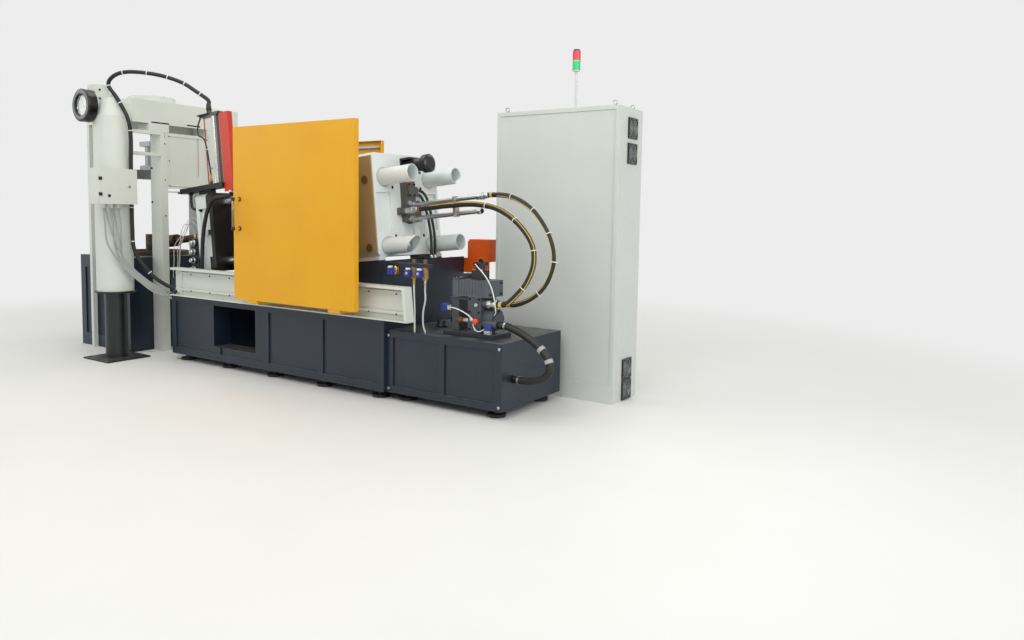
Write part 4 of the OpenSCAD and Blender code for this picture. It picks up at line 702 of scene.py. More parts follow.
def lay_hose(name, route, d, finish, step, sides, replaces=None):
    """Makes a hose or cable along its route. Both of its ends go into the machine."""
    path = smooth_path(route, step)
    piece = Piece(name)
    piece.tube(path, d, finish, sides)
    made = piece.done(replaces=replaces)


FINISHES = {}


def finishes():
    """The finishes, made once."""
    if not FINISHES:
        FINISHES.update(make_finishes(bpy.context.scene.machine_paint))
    return FINISHES


# Stage and light


def rays_of(tree, *kinds):
    """Whether a ray is of one of those kinds, as 0 or 1."""
    ray = add_node(tree, "ShaderNodeLightPath").outputs
    found = ray[kinds[0]]
    for kind in kinds[1:]:
        found = add_node(tree, "ShaderNodeMath", {0: found, 1: ray[kind]}, operation="MAXIMUM").outputs[0]
    return found


def sealed_concrete(stage):
    """Sealed pale concrete: almost even, faint clouding, a soft low sheen. Far from the machine it
    fades into the pale backdrop, for the camera and for reflections."""
    made, tree, place, shader = start_material("sealed_concrete")
    cloud = add_node(tree, "ShaderNodeTexNoise", {"Vector": place, "Scale": per(700), "Detail": 5.0})
    cloud = add_node(tree, "ShaderNodeMapRange", {"Value": cloud.outputs["Fac"], "From Min": 0.3,
                                                  "From Max": 0.7, "To Max": 0.12})
    base = add_node(tree, "ShaderNodeMix", {0: cloud.outputs[0], 6: linear(stage.floor),
                                            7: linear("#CFCFCB")}, data_type="RGBA")
    tree.links.new(base.outputs[2], shader.inputs["Base Color"])
    shader.inputs["Roughness"].default_value = 0.6
    seen = rays_of(tree, "Is Camera Ray", "Is Glossy Ray")
    away = add_node(tree, "ShaderNodeVectorMath", {0: place}, operation="LENGTH")
    away = add_node(tree, "ShaderNodeMapRange", {"Value": away.outputs["Value"], "From Min": 3.0,
                                                 "From Max": 7.5}, interpolation_type="SMOOTHSTEP")
    fade = add_node(tree, "ShaderNodeMath", {0: seen, 1: away.outputs[0]}, operation="MULTIPLY")
    haze = add_node(tree, "ShaderNodeEmission", {"Color": linear(stage.backdrop)})
    mixed = add_node(tree, "ShaderNodeMixShader", {0: fade.outputs[0], 1: shader.outputs[0],
                                                   2: haze.outputs[0]})
    out = next(n for n in tree.nodes if n.bl_idname == "ShaderNodeOutputMaterial")
    tree.links.new(mixed.outputs[0], out.inputs["Surface"])
    return made


def studio_world(stage):
    """The world: the plain backdrop for the camera, reflections and what shows through glass, and
    even light for every other ray."""
    made = bpy.data.worlds.new("studio")
    made.use_nodes = True
    tree = made.node_tree
    tree.nodes.clear()
    pale = linear(stage.backdrop)
    lit = add_node(tree, "ShaderNodeBackground", {"Color": pale, "Strength": stage.fill})
    plain = add_node(tree, "ShaderNodeBackground", {"Color": pale, "Strength": 1.0})
    seen = rays_of(tree, "Is Camera Ray", "Is Glossy Ray", "Is Transmission Ray")
    mixed = add_node(tree, "ShaderNodeMixShader", {0: seen, 1: lit.outputs[0], 2: plain.outputs[0]})
    add_node(tree, "ShaderNodeOutputWorld", {0: mixed.outputs[0]})
    return made


# each lamp's name, place, aim, width in metres and share of the key light's power
LAMPS = (("key", (2.6, -5.4, 5.6), (-0.4, 0, 1.0), 4.0, 1.0),
         ("tail", (7.0, -1.6, 3.4), (0.6, 0, 1.2), 3.5, 0.8),
         ("overhead", (-1.2, -0.6, 6.4), (-0.6, 0, 0.6), 5.0, 0.75),
         ("side", (-6.0, -3.6, 3.6), (-0.8, 0, 1.0), 3.0, 0.3),
         ("back", (2.0, 6.0, 5.0), (0, 0, 1.0), 4.0, 0.5))


class MACHINE_OT_stage(bpy.types.Operator):
    """Sets the camera, the plain floor and the soft studio light"""

    bl_idname = "machine.stage"
    bl_label = "Stage and camera"

    def execute(self, context):
        stage = context.scene.machine_stage
        camera = bpy.data.objects.new("camera", bpy.data.cameras.new("camera"))
        camera.data.lens, camera.data.sensor_width = stage.lens, 36
        camera.data.shift_y = -PHOTO_DROP / PHOTO_WIDTH
        camera.data.clip_end = 200
        turn = (Matrix.Rotation(stage.azimuth, 4, "Z") @ Matrix.Rotation(math.pi / 2 - stage.pitch, 4, "X")
                @ Matrix.Rotation(-stage.roll, 4, "Z"))
        camera.matrix_world = Matrix.Translation(stage.place) @ turn
        context.scene.collection.objects.link(camera)
        context.scene.camera = camera
        context.scene.view_settings.view_transform = "Standard"

        finishes()["floor"] = sealed_concrete(stage)
        floor = Piece("floor")
        floor.lathe([(FLOOR_RADIUS, -1), (FLOOR_RADIUS, 0), (0, 0)], (0, 0, 0), Z, "floor", 96, False)
        floor.make()
        context.scene.world = studio_world(stage)

        for name, place, aim, size, share in LAMPS:
            lamp = bpy.data.lights.new(name, "AREA")
            lamp.energy, lamp.size = stage.key * share, size
            # barely warm, as a large soft box is
            lamp.color = (1.0, 0.99, 0.97)
            made = bpy.data.objects.new(name, lamp)
            made.location = place
            made.rotation_mode = "QUATERNION"
            made.rotation_quaternion = (Vector(aim) - Vector(place)).to_track_quat("-Z", "Y")
            context.scene.collection.objects.link(made)
        return {"FINISHED"}


# Routes of the hoses and cables, in the machine's millimetres


def off_pipe(reach):
    """A point straight out of the cylinder's upper pipe."""
    return clamp(2645 + reach, -30, 45)


def off_port(reach):
    """A point straight out of the port on the cylinder's head."""
    return clamp(2045 + reach, -108, 0)


OUTER_HOSE = [off_pipe(0.3), off_pipe(40), off_pipe(110), (2940, -90, 1486), (3130, -130, 1400),
              (3280, -165, 1240), (3335, -180, 1070), (3290, -195, 910), (3190, -208, 808), (3070, -218, 756),
              (2980, -220, 750), (2935, -220, 750), (MANIFOLD_X, -220, 750)]
INNER_HOSE = [off_port(0.3), off_port(40), off_port(110), (2420, -108, 1424), (2650, -125, 1432),
              (2870, -170, 1400), (3060, -215, 1310), (3190, -240, 1180), (3225, -260, 1050),
              (3185, -275, 920), (3110, -290, 825), (3040, -299, 765), (2980, -300, 750), (2935, -300, 750),
              (MANIFOLD_X, -300, 750)]
SUCTION_HOSE = [(2970.3, -290, 610), (3000, -290, 610), (3040, -290, 610), (3150, -296, 578),
                (3265, -300, 522), (3360, -305, 445), (3395, -310, 360), (3340, -310, 290),
                (3240, -310, 262), (3180, -310, 260), (3140, -310, 260), (3110.3, -310, 260)]
HARNESS = [(BED_END_X, -400, 640), (-510, -400, 640), (-545, -404, 642), (-600, -460, 672),
           (-680, -560, 780), (-755, -655, 980), (-770, -666, 1200), (-770, -666, 1450), (-770, -666, 1750),
           (-760, -668, 2010), (-752, -700, 2170), (-815, -750, 2330), (-868, -800, 2450),
           (-790, -780, 2530), (-650, -720, 2555), (-440, -600, 2530), (-270, -490, 2470),
           (-165, -410, 2390), clamp(30, SPRAY_Y, 1153), clamp(30, SPRAY_Y, 1108),
           clamp(30, SPRAY_Y, 1063.3)]
SPRAY_LOOP = [clamp(*p) for p in (
    (-78, -366, 1006), (-88, -372, 985), (-97, -380, 950), (-102, -386, 900), (-84, -389, 852),
    (-45, -390, 836), (-12, -388, 806), (2, -385, 750), (8, -381, 680), (12, -377, 610), (15, -373, 550),
    (16, -372, 500), (16, -372, 465), (16, -372, 430))]
SPRAY_DRAIN = [clamp(-320, SPRAY_Y, 372.8), (-357, -350, 1480), (-352, -352, 1420), (-340, -354, 1384),
               (-305, -358, 1368), (-250, -360, 1362), (-214, -360, 1360)]
DIE_HOSE = [clamp(262, -352, 332.7), clamp(262, -356, 312), (208, -374, 1487), (160, -396, 1479),
            (95, -414, 1470), (35, -420, 1440), (-22, -420, 1360), (-63, -420, 1250), (-92, -420, 1127),
            (-106, -420, 991), (-112, -420, 880), (-113, -420, bed_top(-113) + 50),
            (-113, -420, bed_top(-113) + 2)]
SOLENOID_CABLE = [(2563, -304, 700), (2563, -324, 700), (2576, -348, 708), (2612, -360, 713),
                  (2660, -362, 709), (2710, -360, 694), (2756, -354, 672), (2786, -349, 646),
                  (2797, -346, 616), (2802, -345, 588), (2820, -343, 566), (2848, -338, 562),
                  (2872, -330, 574), (2888, -322, 588), (2904, -316, 592)]
RELIEF_CABLE = [(2780, -309, 1020), (2792, -318, 1020), (2830, -345, 1004), (2885, -350, 960),
                (2935, -345, 890), (2962, -335, 800), (2964, -318, 715), (2950, -300, 690),
                (2930.3, -290, 672)]


def lube_route(w, y, out, down):
    """One of the two hoses that leave the tail sideways and hang down to the bed: out is its
    reach straight out of the port, and down its points past the tail's face."""
    points = [clamp(1951, 70 + reach, w) for reach in out]
    points += [clamp(TAIL_U + u, at_y, at_w) for u, at_y, at_w in down]
    return points + [Vector((2045, y, bed_top(2045) + rise)) for rise in (60, 30, 4)]


LUBE_HOSES = [
    lube_route(168, 168, (0.3, 20, 44), ((38, 152, 146), (56, 167, 100), (74, 168, 30), (90, 168, -60),
                                         (102, 168, -150), (104, 168, -230))),
    lube_route(136, 124, (0.3, 14, 28), ((40, 118, 112), (58, 124, 70), (76, 124, 0), (92, 124, -80),
                                         (102, 124, -160), (104, 124, -230)))]


# thin tubes along each closing hose: diameter, finish, and the way across and up that they lie
OUTER_TUBES = ((6, "grey_tube", -0.35, 1.0), (5, "yellow_tube", -1.0, -0.45))
INNER_TUBES = ((6, "yellow_tube", -0.8, 0.75), (4, "brown_tube", -0.3, 1.0))
# shares of a line's length at which its ties and its marker bands sit
OUTER_TIES = (0.2, 0.36, 0.5, 0.62, 0.78)
OUTER_BANDS = ((0.055, "yellow_tube"), (0.93, "yellow_tube"))
INNER_TIES = (0.38, 0.55, 0.7, 0.84)
INNER_BANDS = ((0.04, "brown_tube"), (0.955, "yellow_tube"))
HARNESS_TIES = (0.1, 0.2, 0.3, 0.52, 0.6, 0.655, 0.72, 0.79, 0.85, 0.9, 0.945)


def beside(path, reach, across, up, wander):
    """A path that keeps beside another, at that angle round it, and wanders a little."""
    moved = []
    for i, point in enumerate(path):
        ahead = (path[min(i + 1, len(path) - 1)] - path[max(i - 1, 0)]).normalized()
        out = ahead.cross(Y).normalized()
        away = (out * up + Y * across).normalized()
        moved.append(point + away * (reach + wander * noise.noise(point * 0.011)))
    return moved


# Operators


class MACHINE_OT_closing_hoses(bpy.types.Operator):
    """Builds the two closing hoses with their ferrules, ties and the thin tubes along them"""

    bl_idname = "machine.closing_hoses"
    bl_label = "Closing hoses"

    def execute(self, context):
        hose = context.scene.machine_hose
        d, tie = hose.hose_d / MM, hose.tie_w / MM
        for name, route, tubes, ties, bands in (
                ("outer", OUTER_HOSE, OUTER_TUBES, OUTER_TIES, OUTER_BANDS),
                ("inner", INNER_HOSE, INNER_TUBES, INNER_TIES, INNER_BANDS)):
            path = smooth_path(route, 14)
            fittings = Piece(name + "_hose_fittings")
            fittings.hose_end(path[0], path[3], d)
            fittings.hose_end(path[-1], path[-4], d)
            for share, finish in bands:
                i = int(share * (len(path) - 1))
                fittings.band(path[i], path[i + 1] - path[i], d, 24, finish, 1.6)
            for d_small, finish, across, up in tubes:
                fittings.tube(beside(path[9:-9], (d + d_small) / 2, across, up, 2.0), d_small, finish, 8)
            for share in ties:
                # narrow ties, round the hose and its thin tubes
                fittings.tie(path, share, d + 10, tie * 0.75)
            made = fittings.done()
            lay_hose(name + "_closing_hose", route, d, "rubber", 14, hose.sides, "closing_hoses")
        return {"FINISHED"}


class MACHINE_OT_suction_and_lube_hoses(bpy.types.Operator):
    """Builds the suction hose with its clamps and the two hoses at the tail"""

    bl_idname = "machine.suction_and_lube_hoses"
    bl_label = "Suction and lube hoses"

    def execute(self, context):
        hose = context.scene.machine_hose
        d = hose.suction_d / MM
        path = smooth_path(SUCTION_HOSE, 14)
        fittings = Piece("suction_hose_fittings")
        for i, j in ((3, 4), (-4, -5)):
            axis = path[j] - path[i]
            # screw clamp: a worm-drive band with its housing
            fittings.band(path[i], axis, d + 2, 14, "zinc_plate", 1.4)
            fittings.screw(path[i] + Vector((0, -d / 2 - 3, 6)), Z, 10, "zinc_plate", 0.8)
        for share in (0.46, 0.56):
            # grey wear sleeves on the bend
            i = int(share * (len(path) - 1))
            fittings.band(path[i], path[i + 1] - path[i], d, 26, "grey_plastic", 4)
        made = fittings.done()
        lay_hose("suction_line", SUCTION_HOSE, d, "rubber", 14, 24, "closing_hoses")
        d = hose.lube_d / MM
        for i, route in enumerate(LUBE_HOSES):
            path = smooth_path(route, 10)
            fittings = Piece(f"lube_hose_fittings_{i + 1}")
            for end, inward in ((path[0], path[1]), (path[-1], path[-3])):
                axis = (inward - end).normalized()
                fittings.hexagon(end, axis, d * 1.25, 12, "zinc_plate")
                fittings.rod(end, end + axis * 24, d * 1.16, "zinc_plate")
            made = fittings.done()
            lay_hose(f"lube_hose_{i + 1}", route, d, "rubber", 10, 16, "lube_hoses")
        return {"FINISHED"}


class MACHINE_OT_spray_lines(bpy.types.Operator):
    """Builds the spray unit's harness, its looped cable and drain, and the die hose"""

    bl_idname = "machine.spray_lines"
    bl_label = "Spray unit lines"

    def execute(self, context):
        hose = context.scene.machine_hose
        d, tie = hose.harness_d / MM, hose.tie_w / MM
        path = smooth_path(HARNESS, 14)
        fittings = Piece("harness_fittings")
        for share in HARNESS_TIES:
            fittings.tie(path, share, d, tie)
        # tapered rubber boot over the gland, and a compression gland at the bed's end
        fittings.lathe([(18, 0), (24, 4), (23, 20), (20, 44), (18, 60)], path[-1], path[-4] - path[-1],
                       "black_plastic", 24)
        fittings.lathe([(22, 0), (27, 2), (27, 16), (21, 26)], path[0], path[2] - path[0],
                       "black_plastic", 24)
        made = fittings.done()
        lay_hose("spray_harness_cable", HARNESS, d, "cable_rubber", 14, 20, "spray_harness")
        fittings = Piece("loop_cable_fittings")
        # brass spray fitting on the bar, with a steel nut and a black collar
        fittings.rod(clamp(16, -372, 417.3), clamp(16, -372, 440), 26, "black_plastic")
        fittings.hexagon(clamp(16, -372, 440), W, 26, 18, "brass")
        fittings.rod(clamp(16, -372, 458), clamp(16, -372, 492), 18, "brass")
        fittings.hexagon(clamp(16, -372, 492), W, 22, 14, "brass")
        fittings.tie(smooth_path(SPRAY_LOOP, 10), 0.55, 14, 6)
        made = fittings.done()
        lay_hose("spray_loop_cable", SPRAY_LOOP, 14, "cable_rubber", 10, 12, None)
        # drain elbow that hangs from the bar's left end
        drain = Piece("spray_drain_elbow")
        drain.tube(smooth_path(SPRAY_DRAIN, 12), 24, "black_plastic")
        drain.hexagon(SPRAY_DRAIN[0], -W, 36, 18, "black_oxide")
        drain.rod((-222, -360, 1360.5), (-196, -360, 1358), 32, "black_oxide")
        drain.done()
        path = smooth_path(DIE_HOSE, 12)
        fittings = Piece("die_hose_fittings")
        for end, inward in ((path[0], path[2]), (path[-1], path[-3])):
            axis = (inward - end).normalized()
            fittings.hexagon(end, axis, 44, 16, "zinc_plate")
            fittings.rod(end, end + axis * 34, 40, "black_oxide")
        made = fittings.done()
        lay_hose("die_cooling_hose", DIE_HOSE, 34, "rubber", 12, 16, None)
        return {"FINISHED"}


NODE_FINISH = {
    "navy_enamel": ("bed_side_beams", "bed_cross_blocks", "furnace_body", "oil_tank"),
    "cream_coat": ("bed_rails", "fume_hood", "hood_frame", "hood_panel", "accumulator", "junction_box",
                   "junction_box_door"),
    "casting_enamel": ("tail_platen", "tie_bar_covers"),
    "sooted_and_shaded_enamel": ("fixed_platen", "moving_platen"),
    "yellow_coat": ("front_door",),
    "guard_coat": ("rear_guard",),
    "cabinet_coat": ("cabinet_body", "cable_trunk"),
    "red_enamel": ("spray_channel",),
    "orange_enamel": ("terminal_box",),
    "tan_shade_and_door_reflection": ("tail_side_cover",),
    "pump_lacquer": ("pump_set",),
    "stack_lacquer": ("valve_stack",),
    "valve_lacquer": ("water_valves",),
    "black_enamel": ("bed_feet", "die_height_motor", "spray_base", "cabinet_fans"),
    "stand_enamel": ("accumulator_stand",),
    "gauge_black": ("pressure_gauge",),
    "ground_steel": ("tie_bars", "crosshead"),
    "spray_chrome": ("spray_rods",),
    "milled_steel": ("toggle_links", "shot_unit"),
    "cylinder_steel": ("closing_cylinder",),
    "die_steel": ("cover_die", "ejector_die"),
    "hot_iron": ("furnace_pot", "nozzle"),
    "rubber": ("closing_hoses", "lube_hoses", "spray_harness"),
    "tower_plastic": ("tower_light",),
}


class MACHINE_OT_frame_finishes(bpy.types.Operator):
    """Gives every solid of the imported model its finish"""

    bl_idname = "machine.frame_finishes"
    bl_label = "Finishes of the frame"

    def execute(self, context):
        for finish, nodes in NODE_FINISH.items():
            for node in nodes:
                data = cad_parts[node].data
                data.materials.clear()
                data.materials.append(finishes()[finish])
        return {"FINISHED"}


class MACHINE_OT_gauge_face(bpy.types.Operator):
    """Builds the pressure gauge's bezel, dial, pointer and glass"""

    bl_idname = "machine.gauge_face"
    bl_label = "Gauge face"

    def execute(self, context):
        piece = Piece("gauge_face")
        x, face, z = GAUGE
        piece.lathe([(92.5, -4), (92.5, 5), (97, 8), (134, 8), (142.5, 3), (142.5, -6)], (x, face, z), -Y,
                    "gauge_black", 64, True, True)
        piece.lathe([(84, 0), (92, 0), (92, 14), (88, 17), (84, 3)], (x, -947, z), -Y, "zinc_plate", 64,
                    True, True)
        piece.lathe([(86, 0), (86, 1.5), (0, 1.5)], (x, -946.4, z), -Y, "dial_card", 64, False)
        # 50 parts over three quarters of a turn, each fifth mark long
        for k in range(51):
            turn = math.radians(225 - 270 * k / 50)
            long = 15 if k % 5 == 0 else 8
            mark = Matrix.Translation((x, -948.2, z)) @ Matrix.Rotation(-turn, 4, "Y")
            piece.block((80 - long, -0.3, -0.9), (80, 0.3, 0.9), "black_plastic", 0, mark)
        pointer = Matrix.Translation((x, -950.5, z)) @ Matrix.Rotation(-math.radians(118), 4, "Y")
        piece.block((-22, -0.8, -2.6), (0, 0.8, 2.6), "black_plastic", 0.5, pointer)
        piece.block((0, -0.8, -1.5), (70, 0.8, 1.5), "black_plastic", 0.5, pointer)
        piece.lathe([(7, 0), (7, 4), (4, 6), (0, 6)], (x, -948, z), -Y, "zinc_plate", 20)
        piece.lathe([(91.8, 0), (91.8, 2.5), (0, 2.5)], (x, -959, z), -Y, "glass", 64, False)
        # stem nut between the gauge and its block, and the block's plugs
        piece.hexagon((x, -900, z), Y, 46, 18, "zinc_plate")
        for plug_z in (2235, 2330, 2405):
            piece.screw((-935, -842, plug_z), X, 17, "black_oxide")
        piece.screw((-935, -785, 2312), X, 20, "brown_tube", 0.6)
        piece.done()
        return {"FINISHED"}


class MACHINE_OT_fan_guards(bpy.types.Operator):
    """Builds the wire guards, blades and screws of the cabinet's four fans"""

    bl_idname = "machine.fan_guards"
    bl_label = "Fan guards"

    def execute(self, context):
        guard = context.scene.machine_guard
        wire = guard.wire_d / MM
        piece = Piece("fan_guards")
        for centre in FAN_CENTRES:
            piece.lathe([(62, 0.3), (64.5, 0.3), (64.5, 4.5), (62, 4.5)], centre, X, "black_plastic", 40,
                        True, True)
            for k in range(guard.blades):
                turn = Matrix.Rotation(2 * math.pi * k / guard.blades, 4, "X")
                tilt = Matrix.Translation((0.4, 0, 0)) @ Matrix.Rotation(0.06, 4, "Z")
                piece.block((0.2, -15, 20), (1.8, 15, 59), "black_plastic", 0.4,
                            Matrix.Translation(centre) @ turn @ tilt)
            piece.lathe([(23, 0.3), (23, 3), (20, 3.6), (0, 3.6)], centre, X, "black_plastic", 28)
            for k in range(guard.rings):
                piece.hoop(centre + X * 4.6, X, 14 + 50 * k / (guard.rings - 1), wire, "zinc_plate", 36)
            for k in range(4):
                turn = math.pi / 4 + math.pi / 2 * k
                out = Vector((0, math.cos(turn), math.sin(turn)))
                spoke = centre + X * 4.2
                piece.rod(spoke + out * 12, spoke + out * 88, wire, "zinc_plate", 6, 0.2)
                piece.screw(centre + X * 4.4 + out * 91, X, 9, "zinc_plate", 0.16)
        piece.done()
        return {"FINISHED"}


class MACHINE_OT_junction_box_fittings(bpy.types.Operator):
    """Builds the junction box's hinges, plug and lock, its glands and the conduits below it"""

    bl_idname = "machine.junction_box_fittings"
    bl_label = "Junction box fittings"

    def execute(self, context):
        door = Piece("junction_box_door_fittings")
        for z in (1470, 1604):
            door.block((-632, -1036, z), (-623, -1008, z + 28), "black_plastic", 2)
        door.lathe([(13, 0), (13, 4), (11, 7), (0, 7)], (-632, -946, 1472), X, "black_plastic", 24)
        door.lathe([(14, 0), (14, 5), (9, 8), (6, 8), (6, 3), (0, 3)], (-632, -767, 1555), X,
                   "zinc_plate", 28)
        # painted shade: a flat dark strip stands for the shade inside the lock's keyhole
        door.block((-627.5, -769, 1550), (-626, -765, 1560), "dark_mouth", 0)
        door.done("box_door")
        box = Piece("junction_box_glands")
        # each conduit's gland under the box, and its foot on the bed's end
        tops = ((-710, -953.5, 1366), (-710, -887.5, 1366), (-710, -821.5, 1366), (-742, -853, 1400),
                (-742, -920, 1400))
        feet = ((-372, 560), (-392, 540), (-412, 560), (-432, 545), (-352, 575))
        for x, y, top in tops:
            box.hexagon((x, y, top), -Z, 25, 9, "grey_plastic")
            box.lathe([(11.5, 0), (11, 8), (8.5, 12)], (x, y, top - 9), -Z, "grey_plastic", 20)
        for y, z in feet:
            box.lathe([(12, 0), (13, 2), (12, 14), (8, 18)], (BED_END_X, y, z), -X, "grey_plastic", 20)
        # cable clamp over the harness, with its two screws
        for z in (1484, 1566):
            box.screw((-775, -695, z), -Y, 10, "zinc_plate")
        box.done()
        for k, ((x, y, top), (foot_y, foot_z)) in enumerate(zip(tops, feet)):
            # each starts at its gland's mouth, and they spread out by side on the way down
            top -= 21
            side = k * 17 - 34
            route = [(x, y, top), (x, y, top - 30), (x + side * 0.3, y + 14, top - 120),
                     (-712 + side * 0.5, y * 0.75 - 190 + side * 0.4, 1060),
                     (-700 + side * 0.4, -790 + side * 0.8, 880), (-650 + side * 0.3, -640 + side, 715),
                     (-590, -510 + side, 610 + side * 0.4),
                     (-545, foot_y - 12, foot_z + 6), (-515, foot_y, foot_z), (-498, foot_y, foot_z)]
            lay_hose(f"box_conduit_{k + 1}", route, 15, "grey_plastic", 12, 12)
        return {"FINISHED"}


class MACHINE_OT_door_fittings(bpy.types.Operator):
    """Builds the sliding door's grip with its roses, and the rail's screws"""

    bl_idname = "machine.door_fittings"
    bl_label = "Door fittings"

    def execute(self, context):
        door = Piece("front_door_fittings")
        # chromed grip tube, its warm tint a painted reflection of the yellow door, with black end sleeves
        # over the bar, and its roses on the sheet
        door.rod(GRIP + Z * 1214, GRIP + Z * 1458, 21.2, "worn_chrome_and_door_reflection", 28)
        for z in (1221, 1451):
            door.lathe([(13.5, -14), (14, -12), (14, 12), (13.5, 14)], GRIP + Z * z, Z, "black_plastic", 24)
            door.lathe([(17.6, 0), (17.6, 6), (14, 9), (11, 9)], (GRIP.x, -690, z), -Y, "black_plastic", 24)
        door.done("front_door")
        rail = Piece("rail_fittings")
        for x in range(-330, 2300, 262):
            for z in (657, 801):
                rail.screw((x, -560, z), -Y, 13, "black_oxide", 0.35)
        # black knob low on the rail, and the screws of its end
        rail.lathe([(12, 0), (12, 8), (20, 12), (21, 22), (17, 27), (0, 28)], (-332, -526, 634), -Y,
                   "black_plastic", 24)
        for y in (-488, -496):
            for z in (690, 780):
                rail.screw((-375, y, z), -X, 12, "black_oxide")
        rail.done()
        return {"FINISHED"}


class MACHINE_OT_clamp_fasteners(bpy.types.Operator):
    """Builds the platens' screws, the cylinder's nuts and plugs, and the toggle's pin plates"""

    bl_idname = "machine.clamp_fasteners"
    bl_label = "Clamp fasteners"

    def execute(self, context):
        piece = Piece("clamp_fasteners")
        # sunk screws in the tail's face
        for y in (-165, 165):
            for w in (-186, 186):
                piece.lathe([(12.6, -20), (12.6, -3), (9, -3), (9, -9), (0, -9)], clamp(TAIL_U, y, w), U,
                            "black_oxide", 20)
        # bar ends inside the covers' recesses, with their centre holes
        for y in (-BAR_Y, BAR_Y):
            for w in (-BAR_Y, BAR_Y):
                piece.lathe([(42, 0), (42, 3), (38, 6), (9, 6), (6, 2), (0, 2)], clamp(2115, y, w), U,
                            "ground_steel", 32)
        # tie rod nuts on the cylinder's head, and screws of its valve block and port
        for y in (-58, 58):
            for w in (-58, 58):
                piece.hexagon(clamp(HEAD_U, y, w), U, 41, 16, "zinc_plate")
        for y, w in ((-58, 122), (-2, 122), (-58, 204), (-2, 204)):
            piece.screw(clamp(1999, y, w), U, 16, "black_oxide")
        for y in (-62, -34):
            # brass test plugs on the valve block's lid
            piece.lathe([(9, 0), (9, 8), (6, 10), (6, 18), (0, 18)], clamp(1985, y, 222), U, "brass", 16)
        for y, w in ((-122, 14), (-94, 14), (-122, -14), (-94, -14)):
            piece.screw(clamp(1961, y, w), U, 10, "black_oxide")
        for u, w in ((2408, 62), (2408, -77), (2414, -8)):
            piece.screw(clamp(u, -54, w), -Y, 12, "zinc_plate")
        for w in (45, -60):
            # pipe collars at the head and at the far end
            piece.hexagon(clamp(1999.5 if w > 0 else 1985.5, -30, w), U, 46, 26, "zinc_plate")
            piece.hexagon(clamp(2612, -30, w), U, 44, 30, "zinc_plate")
        # plug in the lower pipe's end
        piece.lathe([(17, 0), (17, 6), (12, 10), (0, 10)], clamp(2645, -30, -60), U, "black_oxide", 20)
        # pin plates of the toggle: each pin's place, the plate's distance from the centre and radius
        pins = ((800, 170, 202, 36), (1200.5, 95, 202, 36), (1585, 230, 202, 36), (1305.5, 110, 58, 22))
        for side in (-1, 1):
            for u, w, reach, r in pins:
                for half in (-1, 1):
                    base = clamp(u, side * reach, half * w)
                    axis = Y * side
                    piece.lathe([(r, 0), (r, 6), (r - 3, 8), (8, 8), (8, 14), (5, 18), (0, 18)], base, axis,
                                "zinc_plate", 28)
                    for k in range(3):
                        turn = 2 * math.pi * k / 3
                        spot = base + (U * math.cos(turn) + W * math.sin(turn)) * r * 0.66
                        piece.screw(spot + axis * 8, axis, 9, "black_oxide")
        piece.done()
        return {"FINISHED"}


class MACHINE_OT_hood_fittings(bpy.types.Operator):
    """Builds the screws, slots and seams of the hood, its posts and its panel"""

    bl_idname = "machine.hood_fittings"
    bl_label = "Hood fittings"

    def execute(self, context):
        piece = Piece("hood_fittings")
        for z in (2071, 1752, 1429):
            piece.screw((-1050, -293, z), -Y, 18)
        for y, z in ((-255, 1980), (-255, 1640), (-255, 1300), (255, 1780)):
            piece.screw((-900, y, z), X, 12, "black_oxide")
        for y in (-205, 205):
            for z in (1590, 1823, 2056):
                piece.screw((-906, y, z), X, 11, "black_oxide")
        # painted shade: flat dark strips stand for the shade in the vent slots low in the hood's face, in the
        # seams of its folded sheets and in the panel's gap
        for y_low, y_high, z in ((-15, 128, 2172), (-384, -203, 2164)):
            piece.block((-900, y_low, z), (-899.2, y_high, z + 13), "dark_mouth", 0)
        piece.block((-900, -252, 2030), (-899.3, -249, 2088), "dark_mouth", 0)
        piece.block((-906, 104, 1690), (-905.3, 107, 2064), "dark_mouth", 0)
        piece.block((-906, -205, 1578), (-905.3, 196, 1581), "dark_mouth", 0)
        for y in (-72, 70):
            piece.block((-930, y - 14, 1520), (-906, y + 14, 1541), "black_plastic", 3)
        for x in (-1640, -1360, -1080):
            piece.screw((x, -568, 2185), -Y, 12, "zinc_plate", 0.4)
        # screws round the flue's flange
        for k in range(8):
            turn = 2 * math.pi * k / 8
            out = (X * math.cos(turn) + Y * math.sin(turn)) * 198
            piece.screw(Vector((-1180, -200, 2430)) + out, Z, 12, "zinc_plate")
        piece.done()
        return {"FINISHED"}


